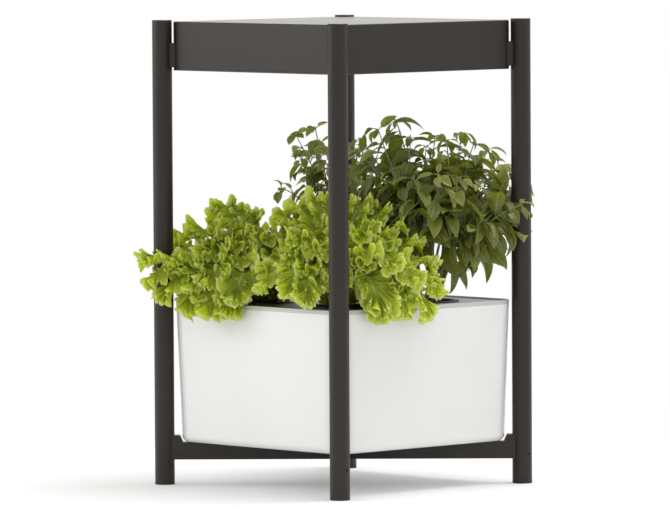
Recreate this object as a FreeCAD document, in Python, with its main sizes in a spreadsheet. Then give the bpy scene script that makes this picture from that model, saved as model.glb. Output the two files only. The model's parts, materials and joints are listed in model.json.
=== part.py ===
import FreeCAD, Part
import math
import os
import Sketcher

V = FreeCAD.Vector

# Driving dimensions in millimetres and degrees. X runs right, Y back and Z up from the middle
# of the floor square that the four posts stand on.
DIMENSIONS = {
    "overall_height": 610,
    "post_pitch": 332,
    "post_diameter": 26,
    "post_wall": 1.5,
    "cap_thick": 2,
    "foot_thick": 3,
    "plug_depth": 12,
    "screw_height": 39,
    "screw_diameter": 5,
    "beam_width": 18,
    "beam_bottom": 33,
    "tub_bottom": 56,
    "ear_top": 65,
    "ear_foot": 210.8,
    "ear_lip": 215,
    "tub_width": 324,
    "tub_corner": 26,
    "tub_top": 236,
    "tub_wall": 3,
    "tub_draft": 1.6,
    "tub_round": 9,
    "tub_inner_chamfer": 5,
    "deck_thick": 3.5,
    "rim_height": 5.5,
    "rim_width": 3,
    "lip_depth": 8,
    "lip_wall": 2,
    "basket_place": 75,
    "basket_hole": 85,
    "basket_flange": 94,
    "basket_depth": 68,
    "basket_foot": 66,
    "basket_draft": 6,
    "basket_wall": 1.6,
    "basket_sides": 12,
    "medium_sunk": 6,
    "port_place": 110,
    "port_width": 44,
    "port_depth": 32,
    "flap_thick": 2.4,
    "flap_pin_place": 133,
    "flap_pin_diameter": 2.4,
    "hinge_ear": 3,
    "hinge_rise": 2,
    "gauge_place": 62,
    "float_diameter": 26,
    "float_low": 150,
    "float_thick": 14,
    "float_rod": 4.6,
    "guide_diameter": 32,
    "guide_bottom": 142,
    "pump_width": 44,
    "pump_length": 40,
    "pump_bottom": 62,
    "pump_height": 44,
    "pump_chamfer": 4,
    "pump_axis": 82,
    "chamber_diameter": 32,
    "chamber_depth": 12,
    "rotor_diameter": 15,
    "shaft_diameter": 3,
    "running_gap": 0.05,
    "cover_thick": 4,
    "riser_diameter": 13,
    "riser_bore": 10,
    "manifold_bottom": 216,
    "lead_diameter": 4,
    "lead_floor": 72,
    "lead_low": 212,
    "lead_high": 572,
    "lead_corner": 188,
    "lead_end": 92,
    "hood_width": 320,
    "hood_corner": 16,
    "hood_bottom": 546,
    "hood_top": 608,
    "hood_wall": 2,
    "bezel_bottom": 544,
    "bezel_opening": 286,
    "bezel_ledge": 548,
    "bezel_top": 556,
    "diffuser_width": 296,
    "spreader_low": 562,
    "spreader_thick": 2.5,
    "spreader_width": 252,
    "board_width": 206,
    "board_thick": 1.6,
    "boss_place_x": 115,
    "boss_place_y": 70,
    "boss_diameter": 10,
    "button_height": 584,
    "button_diameter": 14,
    "jack_bore": 6,
    "bracket_bottom": 548,
    "bracket_top": 580,
    "bracket_width": 16,
    "foliage_low": 243.5,
    "post_clearance": 16,
    "growth_gap": 2,
    "flap_way": 28,
}

# Left is -X and front is -Y; each corner is the pair of signs that leads to it.
CORNERS = {
    "front_left": (-1, -1),
    "front_right": (1, -1),
    "rear_right": (1, 1),
    "rear_left": (-1, 1),
}
HALF_DIAGONAL = math.sqrt(0.5)
SHADOW_GAP = 0.4


class Size(float):
    """A number that keeps the spreadsheet formula it comes from."""

    def __new__(cls, value, formula):
        size = super().__new__(cls, value)
        size.formula = formula
        return size

    def joined(self, sign, other, value, swapped=False):
        text = other.formula if isinstance(other, Size) else repr(float(other))
        first, second = (text, self.formula) if swapped else (self.formula, text)
        return Size(value, "(%s %s %s)" % (first, sign, second))

    def __add__(self, other):
        return self.joined("+", other, float(self) + float(other))

    def __radd__(self, other):
        return self.joined("+", other, float(other) + float(self), True)

    def __sub__(self, other):
        return self.joined("-", other, float(self) - float(other))

    def __rsub__(self, other):
        return self.joined("-", other, float(other) - float(self), True)

    def __mul__(self, other):
        return self.joined("*", other, float(self) * float(other))

    __rmul__ = __mul__

    def __truediv__(self, other):
        return self.joined("/", other, float(self) / float(other))

    def __neg__(self):
        return self * -1


class Dimensions:
    """One attribute for each cell of the sheet."""


doc = FreeCAD.newDocument("hydroponic_garden")
sheet = doc.addObject("Spreadsheet::Sheet", "Dimensions")
dim = Dimensions()
for row, (word, number) in enumerate(DIMENSIONS.items(), start=1):
    sheet.set("A%d" % row, word)
    sheet.set("B%d" % row, str(number))
    sheet.setAlias("B%d" % row, word)
    setattr(dim, word, Size(number, "Dimensions." + word))
doc.recompute()

parts = []


def bind(thing, prop, size):
    """Set a property now and tie it to the sheet where the size comes from there."""
    if "." not in prop:
        setattr(thing, prop, float(size))
    if isinstance(size, Size):
        thing.setExpression(prop, size.formula)


def place(thing, at=(0, 0, 0), turn=0, toward=(0, 0, 1)):
    """Put a thing's origin at a point, with its own Z along toward, then turned about Z."""
    tilt = FreeCAD.Rotation(V(0, 0, 1), V(*toward))
    thing.Placement = FreeCAD.Placement(V(*at), FreeCAD.Rotation(V(0, 0, 1), turn) * tilt)
    for axis, amount in zip("xyz", at):
        bind(thing, "Placement.Base." + axis, amount)


def new_body(label, alone=True):
    """A body that is a part by itself, or one piece of a group."""
    body = doc.addObject("PartDesign::Body", label)
    body.Label = label
    if alone:
        parts.append(body)
    return body


def own(body, role):
    """The body's own origin plane or axis of that role."""
    return next(item for item in body.Origin.OriginFeatures if item.Role == role)


def sketch_on(body, name, plane="XY_Plane", height=0):
    """A sketch on one of the body's own planes, moved along that plane's normal."""
    sketch = body.newObject("Sketcher::SketchObject", name)
    sketch.AttachmentSupport = (own(body, plane), [""])
    sketch.MapMode = "FlatFace"
    sketch.AttachmentOffset = FreeCAD.Placement(V(0, 0, height), FreeCAD.Rotation())
    bind(sketch, "AttachmentOffset.Base.z", height)
    return sketch


def constrain(sketch, kind, *where):
    """Add a constraint whose last value is a size, tied to the sheet."""
    size = where[-1]
    index = sketch.addConstraint(Sketcher.Constraint(kind, *where[:-1], float(size)))
    if isinstance(size, Size):
        name = "size_%d" % index
        sketch.renameConstraint(index, name)
        sketch.setExpression("Constraints." + name, size.formula)


def pin(sketch, curve, point, x, y):
    """Hold a point by its two distances from the sketch's origin."""
    for kind, axis, amount in (("DistanceX", -2, x), ("DistanceY", -1, y)):
        if amount == 0:
            sketch.addConstraint(Sketcher.Constraint("PointOnObject", curve, point, axis))
        else:
            constrain(sketch, kind, -1, 1, curve, point, amount)


def circle(sketch, radius, x=0, y=0):
    curve = sketch.addGeometry(Part.Circle(V(x, y, 0), V(0, 0, 1), radius))
    pin(sketch, curve, 3, x, y)
    constrain(sketch, "Radius", curve, radius)


def outline(sketch, points):
    """A closed outline of straight lines, every corner pinned."""
    first = sketch.GeometryCount
    count = len(points)
    for step in range(count):
        start, end = points[step], points[(step + 1) % count]
        sketch.addGeometry(Part.LineSegment(V(*start, 0), V(*end, 0)))
    for step, (x, y) in enumerate(points):
        following = first + (step + 1) % count
        sketch.addConstraint(Sketcher.Constraint("Coincident", first + step, 2, following, 1))
        pin(sketch, first + step, 1, x, y)


def rectangle(sketch, width, depth, x=0, y=0):
    left, right = x - width / 2, x + width / 2
    near, far = y - depth / 2, y + depth / 2
    outline(sketch, [(left, near), (right, near), (right, far), (left, far)])


def rounded(sketch, width, depth, radius):
    """A centred rectangle whose corners are arcs that run into its sides."""
    first = sketch.GeometryCount
    inner_x, inner_y = width / 2 - radius, depth / 2 - radius
    sides = [(1, -1, -90), (1, 1, 0), (-1, 1, 90), (-1, -1, 180)]
    for sign_x, sign_y, start in sides:
        centre = V(sign_x * inner_x, sign_y * inner_y, 0)
        angles = math.radians(start), math.radians(start + 90)
        arc = Part.ArcOfCircle(Part.Circle(centre, V(0, 0, 1), radius), *angles)
        curve = sketch.addGeometry(arc)
        pin(sketch, curve, 3, sign_x * inner_x, sign_y * inner_y)
        constrain(sketch, "Radius", curve, radius)
    for step in range(4):
        arc, following = first + step, first + (step + 1) % 4
        ends = sketch.getPoint(arc, 2), sketch.getPoint(following, 1)
        line = sketch.addGeometry(Part.LineSegment(*ends))
        sketch.addConstraint(Sketcher.Constraint("Tangent", arc, 2, line, 1))
        sketch.addConstraint(Sketcher.Constraint("Tangent", line, 2, following, 1))


def regular(sketch, sides, inradius):
    """A regular polygon with flats that are the inradius away, one flat facing +X."""
    reach = inradius / math.cos(math.pi / sides)
    turns = [(step + 0.5) * 2 * math.pi / sides for step in range(int(sides))]
    outline(sketch, [(reach * math.cos(turn), reach * math.sin(turn)) for turn in turns])


def feature(body, kind, name, **sizes):
    made = body.newObject("PartDesign::" + kind, name)
    for prop, size in sizes.items():
        bind(made, prop, size)
    body.Tip = made
    return made


def pad(body, sketch, length, down=False, both=False):
    made = feature(body, "Pad", sketch.Name + "_pad", Length=length)
    made.Profile = sketch
    made.Reversed = down
    made.SideType = "Symmetric" if both else "One side"
    doc.recompute()
    return made


def pocket(body, sketch, length, up=False, both=False):
    """Cut down from the sketch, or up, and make sure that something was removed."""
    before = body.Shape.Volume
    made = feature(body, "Pocket", sketch.Name + "_pocket", Length=length)
    made.Profile = sketch
    made.Reversed = up
    made.SideType = "Symmetric" if both else "One side"
    doc.recompute()
    if body.Shape.Volume >= before:
        raise ValueError(made.Name + " cuts nothing")
    return made


def draft(body, name, angle):
    """Lean every upright face about the body's XY plane, so that the body widens upward."""
    base = body.Tip
    faces = ["Face%d" % (n + 1) for n, face in enumerate(base.Shape.Faces) if upright(face)]
    made = feature(body, "Draft", name, Angle=angle)
    made.Base = (base, faces)
    made.NeutralPlane = (own(body, "XY_Plane"), [""])
    made.Reversed = True
    doc.recompute()
    return made


def shell(body, name, wall, mouth_height):
    """Hollow the body to a wall that is open at one height."""
    base = body.Tip
    mouth = ["Face%d" % (n + 1) for n, face in enumerate(base.Shape.Faces) if level_at(face, mouth_height)]
    made = feature(body, "Thickness", name, Value=wall)
    made.Base = (base, mouth)
    made.Reversed = True
    made.Join = "Intersection"
    doc.recompute()
    return made


def upright(face):
    return abs(face.normalAt(0, 0).z) < 0.3


def level_at(face, height):
    return abs(face.BoundBox.ZMin - height) + abs(face.BoundBox.ZMax - height) < 0.01


def revolve(body, points, name="profile"):
    """Turn a half profile of (radius, height) points about the body's Z axis."""
    sketch = sketch_on(body, name, "XZ_Plane")
    outline(sketch, points)
    made = feature(body, "Revolution", name + "_turned")
    made.Profile = sketch
    made.ReferenceAxis = (sketch, ["V_Axis"])
    made.Angle = 360
    doc.recompute()
    return made


def drill(body, name, radius, at, toward, length, sides=0):
    """A hole that starts at a point and runs toward a direction: round, or with flat sides."""
    before = body.Shape.Volume
    if sides:
        corner = radius / math.cos(math.pi / sides)
        hole = feature(body, "SubtractivePrism", name, Circumradius=corner, Height=length)
        hole.Polygon = int(sides)
    else:
        hole = feature(body, "SubtractiveCylinder", name, Radius=radius, Height=length)
    place(hole, at, toward=toward)
    doc.recompute()
    if body.Shape.Volume >= before:
        raise ValueError(name + " cuts nothing")
    return hole


def dress(body, kind, name, test, **sizes):
    """Fillet or chamfer the edges of the body that pass a test."""
    base = body.Tip
    edges = ["Edge%d" % (n + 1) for n, edge in enumerate(base.Shape.Edges) if test(edge)]
    made = feature(body, kind, name, **sizes)
    made.Base = (base, edges)
    doc.recompute()
    return made


def around(body, base, name, count):
    """Repeat a feature evenly about the body's Z axis."""
    made = body.newObject("PartDesign::PolarPattern", name)
    made.Originals = [base]
    made.Axis = (own(body, "Z_Axis"), [""])
    made.Angle = 360
    made.Occurrences = int(count)
    body.Tip = made
    doc.recompute()
    return made


def at_height(height):
    return lambda edge: abs(edge.BoundBox.ZMin - height) + abs(edge.BoundBox.ZMax - height) < 0.01


def primitive(kind, label, at=(0, 0, 0), turn=0, toward=(0, 0, 1), **sizes):
    solid = doc.addObject("Part::" + kind, label)
    for prop, size in sizes.items():
        bind(solid, prop, size)
    place(solid, at, turn, toward)
    return solid


def prism(label, sides, reach, height, at, toward=(0, 0, 1)):
    """A regular prism whose corners lie at the reach."""
    made = primitive("Prism", label, at, toward=toward, Circumradius=reach, Height=height)
    made.Polygon = sides
    return made


def block(label, low, high):
    """A box between two corners."""
    span = [b - a for a, b in zip(low, high)]
    return primitive("Box", label, low, Length=span[0], Width=span[1], Height=span[2])


def cut(label, base, tool):
    made = doc.addObject("Part::Cut", label)
    made.Base = base
    made.Tool = tool
    return made


def group(label, pieces):
    """Several equal pieces of one kind that share a node."""
    made = doc.addObject("Part::Compound", label)
    made.Links = pieces
    made.Label = label
    parts.append(made)
    return made


def tube_plug(name, radius, bore, thick, depth, edge=0.6):
    """A disc with a broken edge that closes a tube, over a twelve-sided plug."""
    body = new_body(name, alone=False)
    disc = [(0, 0), (radius, 0), (radius, thick - edge), (radius - edge, thick), (0, thick)]
    revolve(body, disc, name + "_disc")
    plug = sketch_on(body, name + "_plug")
    regular(plug, 12, (bore - 0.1) * math.cos(math.pi / 12))
    pad(body, plug, depth, down=True)
    return body


def make_posts():
    caps = []
    glides = []
    radius = dim.post_diameter / 2
    bore = radius - dim.post_wall
    for corner, (side, row) in CORNERS.items():
        where = side * dim.post_pitch / 2, row * dim.post_pitch / 2
        body = new_body("post_" + corner)
        section = sketch_on(body, "tube_" + corner, height=dim.foot_thick)
        circle(section, radius)
        circle(section, bore)
        pad(body, section, dim.overall_height - dim.cap_thick - dim.foot_thick)
        low = 0, 0, dim.screw_height
        drill(body, "screw_hole_" + corner, dim.screw_diameter / 2, low, (side, 0, 0), radius * 2, 8)
        if corner == "rear_left":
            for name, height in (("pump", dim.lead_low), ("hood", dim.lead_high)):
                start = 0, 0, height
                drill(body, name + "_lead_hole", dim.lead_diameter * 0.7, start, (1, -1, 0), radius * 2, 8)
        place(body, (*where, 0))

        cap = tube_plug("cap_" + corner, radius, bore, dim.cap_thick, dim.plug_depth)
        place(cap, (*where, dim.overall_height - dim.cap_thick))
        caps.append(cap)
        glide = tube_plug("glide_" + corner, radius, bore, dim.foot_thick, dim.plug_depth)
        place(glide, (*where, dim.foot_thick), toward=(0, 0, -1))
        glides.append(glide)
    group("post_caps", caps)
    group("foot_glides", glides)


def make_brace():
    """Two half-lapped beams on the diagonals, saddled to the posts, with ears round the tub."""
    diagonal = dim.post_pitch / 2 / HALF_DIAGONAL
    radius = dim.post_diameter / 2
    end = diagonal - radius + 4
    middle = (dim.beam_bottom + dim.tub_bottom) / 2
    side = [
        (-end, dim.beam_bottom),
        (end, dim.beam_bottom),
        (end, dim.ear_top),
        (dim.ear_lip, dim.ear_top),
        (dim.ear_foot, dim.tub_bottom),
        (-dim.ear_foot, dim.tub_bottom),
        (-dim.ear_lip, dim.ear_top),
        (-end, dim.ear_top),
    ]
    for name, turn, upward in (("brace_beam_long", 45, True), ("brace_beam_cross", -45, False)):
        body = new_body(name)
        profile = sketch_on(body, name + "_side", "XZ_Plane")
        outline(profile, side)
        pad(body, profile, dim.beam_width, both=True)
        for sign in (-1, 1):
            start = sign * diagonal, 0, dim.beam_bottom - 1
            drill(body, "%s_saddle_%d" % (name, sign + 1), radius, start, (0, 0, 1), 60)
        notch = sketch_on(body, name + "_lap", height=middle)
        rectangle(notch, dim.beam_width, dim.beam_width * 2)
        pocket(body, notch, dim.tub_bottom - middle + 1, up=upward)
        place(body, turn=turn)


def make_brace_screws():
    """Four set screws with hexagon sockets, one through the outer wall of each post."""
    head = dim.screw_diameter / 2
    length = dim.post_wall + 5
    screws = []
    for corner, (side, row) in CORNERS.items():
        face = side * (dim.post_pitch / 2 + dim.post_diameter / 2 - 0.2)
        at = face, row * dim.post_pitch / 2, dim.screw_height
        inward = -side, 0, 0
        shank = prism("set_screw_" + corner, 12, head, length, at, inward)
        socket = prism("hex_socket_" + corner, 6, 1.5, 2.5, at, inward)
        screws.append(cut("socket_screw_" + corner, shank, socket))
    group("brace_screws", screws)


def leaning_box(name, width, depth, corner):
    """A square box that hangs from its rim and leans in, with its upright corners rounded."""
    body = new_body(name, alone=False)
    rim = sketch_on(body, name + "_rim")
    rectangle(rim, width, width)
    pad(body, rim, depth, down=True)
    draft(body, name + "_draft", dim.tub_draft)
    upright_edges = lambda edge: edge.BoundBox.ZLength > depth - 1
    dress(body, "Fillet", name + "_corners", upright_edges, Radius=corner)
    return body


def make_tub():
    """The water tub: a leaning square box with a rounded foot, less a smaller one inside it."""
    depth = dim.tub_top - dim.tub_bottom
    outside = leaning_box("tub_outside", dim.tub_width, depth, dim.tub_corner)
    dress(outside, "Fillet", "tub_foot_round", at_height(-depth), Radius=dim.tub_round)
    lead = -140, 140, dim.lead_low - dim.tub_top
    drill(outside, "grommet_hole", 4.5, lead, (-1, 1, 0), 40, 12)
    place(outside, (0, 0, dim.tub_top))
    room = depth - dim.tub_wall
    inner_width = dim.tub_width - 2 * dim.tub_wall
    inside = leaning_box("tub_inside", inner_width, room, dim.tub_corner - dim.tub_wall)
    dress(inside, "Chamfer", "tub_inner_foot", at_height(-room), Size=dim.tub_inner_chamfer)
    place(inside, (0, 0, dim.tub_top))
    parts.append(cut("tub", outside, inside))


def make_deck():
    """The grow deck: a tray lid with a rim, a lip that drops into the tub and its openings."""
    body = new_body("deck")
    plate = sketch_on(body, "deck_plate", height=dim.tub_top)
    rounded(plate, dim.tub_width, dim.tub_width, dim.tub_corner)
    pad(body, plate, dim.rim_height)
    sunk = sketch_on(body, "deck_sunk", height=dim.tub_top + dim.rim_height)
    inside = dim.tub_width - 2 * dim.rim_width
    rounded(sunk, inside, inside, dim.tub_corner - dim.rim_width)
    pocket(body, sunk, dim.rim_height - dim.deck_thick)
    lip = sketch_on(body, "deck_lip", height=dim.tub_top)
    outer = dim.tub_width - 2 * dim.tub_wall - 2
    inner = outer - 2 * dim.lip_wall
    rounded(lip, outer, outer, dim.tub_corner - dim.tub_wall - 1)
    rounded(lip, inner, inner, dim.tub_corner - dim.tub_wall - 1 - dim.lip_wall)
    pad(body, lip, dim.lip_depth, down=True)

    surface = dim.tub_top + dim.deck_thick
    for corner, (side, row) in CORNERS.items():
        low = side * dim.basket_place, row * dim.basket_place, dim.tub_top - 1
        drill(body, "basket_hole_" + corner, dim.basket_hole / 2, low, (0, 0, 1), 9, dim.basket_sides)
    openings = sketch_on(body, "port_and_gauge", height=surface)
    rectangle(openings, dim.port_width, dim.port_depth, 0, dim.port_place)
    circle(openings, dim.float_rod / 2 + 0.5, 0, dim.gauge_place)
    pocket(body, openings, dim.deck_thick)

    knuckles = sketch_on(body, "hinge_ears", "YZ_Plane")
    ear = dim.hinge_ear
    low, high = surface, surface + dim.hinge_rise + 2.6
    near, far = dim.flap_pin_place - ear, dim.flap_pin_place + ear
    outline(knuckles, [(near, low), (far, low), (far, high), (near, high)])
    pad(body, knuckles, 56, both=True)
    gap = sketch_on(body, "hinge_gap", height=high)
    rectangle(gap, 50, 2 * ear + 1, 0, dim.flap_pin_place)
    pocket(body, gap, high - low)
    axis = -30, dim.flap_pin_place, surface + dim.hinge_rise
    drill(body, "hinge_bore", dim.flap_pin_diameter / 2, axis, (1, 0, 0), 60)


def make_baskets():
    """Net cups: a round flange on a twelve-sided tapered cup with slots down its sides."""
    surface = dim.tub_top + dim.deck_thick
    foot = surface - dim.basket_depth
    for corner, (side, row) in CORNERS.items():
        body = new_body("basket_" + corner)
        base = sketch_on(body, "cup_foot_" + corner)
        regular(base, dim.basket_sides, dim.basket_foot / 2)
        pad(body, base, dim.basket_depth)
        draft(body, "cup_draft_" + corner, dim.basket_draft)
        shell(body, "cup_wall_" + corner, dim.basket_wall, dim.basket_depth)
        ring = sketch_on(body, "flange_" + corner, height=dim.basket_depth)
        circle(ring, dim.basket_flange / 2)
        regular(ring, dim.basket_sides, dim.basket_hole / 2 - 2.8)
        pad(body, ring, dim.basket_wall)
        slot = sketch_on(body, "side_slot_" + corner, "YZ_Plane")
        rectangle(slot, 7, dim.basket_depth - 22, 0, dim.basket_depth / 2)
        opened = pocket(body, slot, 60, up=True)
        around(body, opened, "side_slots_" + corner, dim.basket_sides)
        vent = sketch_on(body, "floor_slot_" + corner, height=dim.basket_wall)
        rectangle(vent, 14, 5, 17, 0)
        opened = pocket(body, vent, dim.basket_wall)
        around(body, opened, "floor_slots_" + corner, dim.basket_sides / 2)
        where = side * dim.basket_place, row * dim.basket_place
        place(body, (*where, foot))

        plug = new_body("medium_" + corner)
        base = sketch_on(plug, "medium_foot_" + corner)
        regular(base, dim.basket_sides, dim.basket_foot / 2 - dim.basket_wall - 0.2)
        pad(plug, base, dim.basket_depth - dim.medium_sunk)
        draft(plug, "medium_draft_" + corner, dim.basket_draft)
        place(plug, (*where, foot + dim.basket_wall))


def leafy_mass(centre, reach, low, high, lobes, depth, steps=24, levels=6, full=0.75):
    """A rounded mass of foliage: rings of points that swell and close, frilled in and out.

    A ring at level k lies at the height that divides low to high evenly. Its radius follows
    the square root of a sine, and every lobe draws it in by up to depth. A full of 1 makes the
    ring oval, and less makes it squarer.
    """
    left, right, near, far = reach
    rings = []
    for level in range(levels):
        share = (level + 0.35) / (levels - 0.3)
        swell = math.sin(math.pi * share) ** 0.5
        height = low + (high - low) * level / (levels - 1)
        ring = []
        for step in range(steps):
            turn = 2 * math.pi * step / steps
            frill = 1 - depth * (0.5 - 0.5 * math.cos(lobes * turn + 1.9 * level))
            cosine, sine = math.cos(turn), math.sin(turn)
            along = math.copysign(abs(cosine) ** full, cosine) * swell * frill
            across = math.copysign(abs(sine) ** full, sine) * swell * frill
            x = centre[0] + along * (right if along > 0 else left)
            y = centre[1] + across * (far if across > 0 else near)
            ring.append(V(x, y, height))
        rings.append(ring)
    return closed_rings(rings)


def closed_rings(rings):
    """A solid of flat triangles between rings of points, closed by a fan at each end."""
    count = len(rings[0])
    triangles = []
    for lower, upper in zip(rings, rings[1:]):
        for step in range(count):
            beside = (step + 1) % count
            triangles.append((lower[step], lower[beside], upper[beside]))
            triangles.append((lower[step], upper[beside], upper[step]))
    for ring in (rings[0], rings[-1]):
        middle = sum(ring, V()) / count
        for step in range(count):
            triangles.append((middle, ring[step], ring[(step + 1) % count]))
    faces = [Part.Face(Part.makePolygon([a, b, c, a])) for a, b, c in triangles]
    solid = Part.makeSolid(Part.makeShell(faces))
    if solid.Volume < 0:
        solid.reverse()
    return solid


def straight_prism(base, reach, along, sides=8):
    """A prism on a level regular polygon round a point."""
    turns = [2 * math.pi * step / sides for step in range(sides)]
    ring = [base + V(reach * math.cos(turn), reach * math.sin(turn), 0) for turn in turns]
    return Part.Face(Part.makePolygon(ring + ring[:1])).extrude(along)


def clear_of_post(solid, corner):
    """Cut away a straight way round a post, so that the plant lifts out past it."""
    side, row = CORNERS[corner]
    centre = V(side * dim.post_pitch / 2, row * dim.post_pitch / 2, 0)
    reach = dim.post_clearance / math.cos(math.pi / 8)
    return solid.cut(straight_prism(centre, reach, V(0, 0, dim.overall_height)))


def plant(label, solid, corner):
    made = doc.addObject("Part::Feature", label)
    made.Label = label
    pieces = clear_of_post(solid, corner).Solids
    made.Shape = max(pieces, key=lambda piece: piece.Volume)
    parts.append(made)


def make_lettuces():
    """Two loose-leaf lettuces that lie over the rim; each stays in its own quarter of the deck.

    Each has a crown, and skirts of outer leaves that hang past the rim or reach round a post.
    """
    root = dim.tub_top + dim.deck_thick + dim.basket_wall - dim.medium_sunk
    inward = dim.basket_place - dim.growth_gap
    outside = dim.tub_width / 2 + dim.growth_gap
    rim_box = Part.makeBox(2 * outside, 2 * outside, dim.foliage_low, V(-outside, -outside, 0))
    skirts = {
        "front_left": [
            ((-78, -outside - 8), (56, 62, 24, 34), 216, 290),
            ((-144, -198), (34, 76, 17, 17), 238, 326),
        ],
        "front_right": [
            ((outside + 4, -50), (36, 20, 50, 46), 216, 296),
            ((74, -150), (68, 56, 32, 40), 236, 300),
        ],
    }
    crowns = {
        "front_left": ((98, inward, 122, inward), 370),
        "front_right": ((inward, 106, 108, inward), 384),
    }
    for corner, (reach, top) in crowns.items():
        side, row = CORNERS[corner]
        centre = side * dim.basket_place, row * dim.basket_place
        head = leafy_mass(centre, reach, dim.foliage_low, top, lobes=9, depth=0.16)
        head = head.fuse(straight_prism(V(*centre, root), 11, V(0, 0, dim.foliage_low - root + 30)))
        for middle, spread, low, high in skirts[corner]:
            skirt = leafy_mass(middle, spread, low, high, lobes=5, depth=0.16, steps=18, levels=5)
            head = head.fuse(skirt.cut(rim_box))
        plant("lettuce_" + corner, head, corner)


def make_herbs():
    """Two basils on bare stems, held back from the middle so that the fill flap can open."""
    root = dim.tub_top + dim.deck_thick + dim.basket_wall - dim.medium_sunk
    away = dim.basket_place - dim.flap_way
    reach_in = dim.basket_place - dim.growth_gap
    bushes = (
        ("rear_right", (away, 118, reach_in, 146), 290, 482),
        ("rear_left", (68, 44, 62, 84), 334, 468),
    )
    for corner, reach, low, top in bushes:
        side, row = CORNERS[corner]
        centre = V(side * dim.basket_place, row * dim.basket_place, root)
        middle = centre.x, centre.y
        bush = leafy_mass(middle, reach, low, top, lobes=7, depth=0.2, levels=5, full=0.9)
        for number in range(3):
            turn = math.radians(120 * number + 40)
            base = centre + V(20 * math.cos(turn), 20 * math.sin(turn), 0)
            lean = V(0.16 * side, 0.12 * row, 1) * (low - root + 40)
            bush = bush.fuse(straight_prism(base, 4, lean, 6))
        plant("basil_" + corner, bush, corner)


def make_pump():
    """A submersible pump on the tub floor. Its shaft runs along its own X axis."""
    turn = 135
    length, width = dim.pump_length, dim.pump_width
    axis = dim.pump_axis
    body = new_body("pump_body")
    base = sketch_on(body, "pump_base", height=dim.pump_bottom)
    rectangle(base, length, width)
    pad(body, base, dim.pump_height)
    upright_edges = lambda edge: edge.BoundBox.ZLength > dim.pump_height - 1
    dress(body, "Chamfer", "pump_corners", upright_edges, Size=dim.pump_chamfer)
    spigot = sketch_on(body, "spigot", height=dim.pump_bottom + dim.pump_height)
    outlet = -length / 2 + dim.chamber_depth / 2
    circle(spigot, dim.riser_bore / 2, outlet)
    pad(body, spigot, 10)
    front = -length / 2, 0, axis
    drill(body, "chamber", dim.chamber_diameter / 2, front, (1, 0, 0), dim.chamber_depth, 24)
    drill(body, "rotor_bore", dim.rotor_diameter / 2 + 0.6, front, (1, 0, 0), 32, 12)
    drill(body, "shaft_socket", dim.shaft_diameter / 2, front, (1, 0, 0), 36, 12)
    drill(body, "outlet_bore", 3.6, (outlet, 0, axis + 10), (0, 0, 1), 40, 8)
    offset = -outlet * HALF_DIAGONAL
    where = outlet * HALF_DIAGONAL, offset
    place(body, (*where, 0), turn)

    cover = new_body("pump_cover")
    plate = sketch_on(cover, "cover_plate", "YZ_Plane", -length / 2 - dim.cover_thick)
    rectangle(plate, width, dim.pump_height, 0, dim.pump_bottom + dim.pump_height / 2)
    pad(cover, plate, dim.cover_thick)
    grille = sketch_on(cover, "inlet_slots", "YZ_Plane", -length / 2)
    for step in (-2, -1, 1, 2):
        rectangle(grille, 3, 22 - 4 * abs(step), step * 5, axis)
    pocket(cover, grille, dim.cover_thick)
    place(cover, (*where, 0), turn)

    turned = FreeCAD.Rotation(V(0, 0, 1), turn)
    hub = V(*where, 0) + turned.multVec(V(-length / 2, 0, axis))
    along = tuple(turned.multVec(V(1, 0, 0)))
    rotor = new_body("impeller")
    shaft = dim.shaft_diameter / 2 + dim.running_gap
    magnet = dim.rotor_diameter / 2
    section = sketch_on(rotor, "magnet_section", height=1)
    regular(section, 24, magnet)
    circle(section, shaft)
    pad(rotor, section, 30)
    blade = sketch_on(rotor, "blade")
    rectangle(blade, 9, 1.6, 10)
    vane = pad(rotor, blade, 8)
    around(rotor, vane, "blades", 6)
    disc = sketch_on(rotor, "blade_disc", height=8)
    regular(disc, 24, 14.4)
    regular(disc, 24, magnet - 0.5)
    pad(rotor, disc, 1.4)
    place_along(rotor, hub, along)

    pin_body = new_body("impeller_shaft")
    section = sketch_on(pin_body, "shaft_section")
    circle(section, dim.shaft_diameter / 2 - 0.01)
    pad(pin_body, section, 36)
    place_along(pin_body, hub, along)

    feet = []
    for number, (x, y) in enumerate(((-13, -15), (13, -15), (13, 15), (-13, 15))):
        spot = V(*where, 0) + turned.multVec(V(x, y, 0))
        floor = dim.tub_bottom + dim.tub_wall
        at = spot.x, spot.y, floor
        rise = dim.pump_bottom - floor
        feet.append(prism("sucker_%d" % number, 12, 5.5, rise, at))
    group("suction_feet", feet)


def place_along(body, at, along):
    """Put a turned part's own Z axis along a direction."""
    body.Placement = FreeCAD.Placement(V(*at), FreeCAD.Rotation(V(0, 0, 1), V(*along)))


def make_watering():
    """The riser stands on the pump; the manifold hangs from the deck and slides over it."""
    start = dim.pump_bottom + dim.pump_height + 0.5
    riser = new_body("riser_pipe")
    section = sketch_on(riser, "riser_section", height=start)
    regular(section, 16, dim.riser_diameter / 2)
    circle(section, dim.riser_bore / 2)
    pad(riser, section, 226 - start)

    body = new_body("manifold")
    underside = dim.tub_top
    hub = sketch_on(body, "hub", height=dim.manifold_bottom)
    regular(hub, 12, dim.riser_diameter / 2 + 4)
    pad(body, hub, underside - dim.manifold_bottom)
    arm = sketch_on(body, "arm", height=underside - 9)
    rectangle(arm, 52, 7, 34)
    reach = pad(body, arm, 9)
    around(body, reach, "arms", 4)
    start = 0, 0, dim.manifold_bottom
    drill(body, "riser_socket", dim.riser_diameter / 2 + 0.6, start, (0, 0, 1), 16, 16)
    place(body, turn=45)


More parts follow.
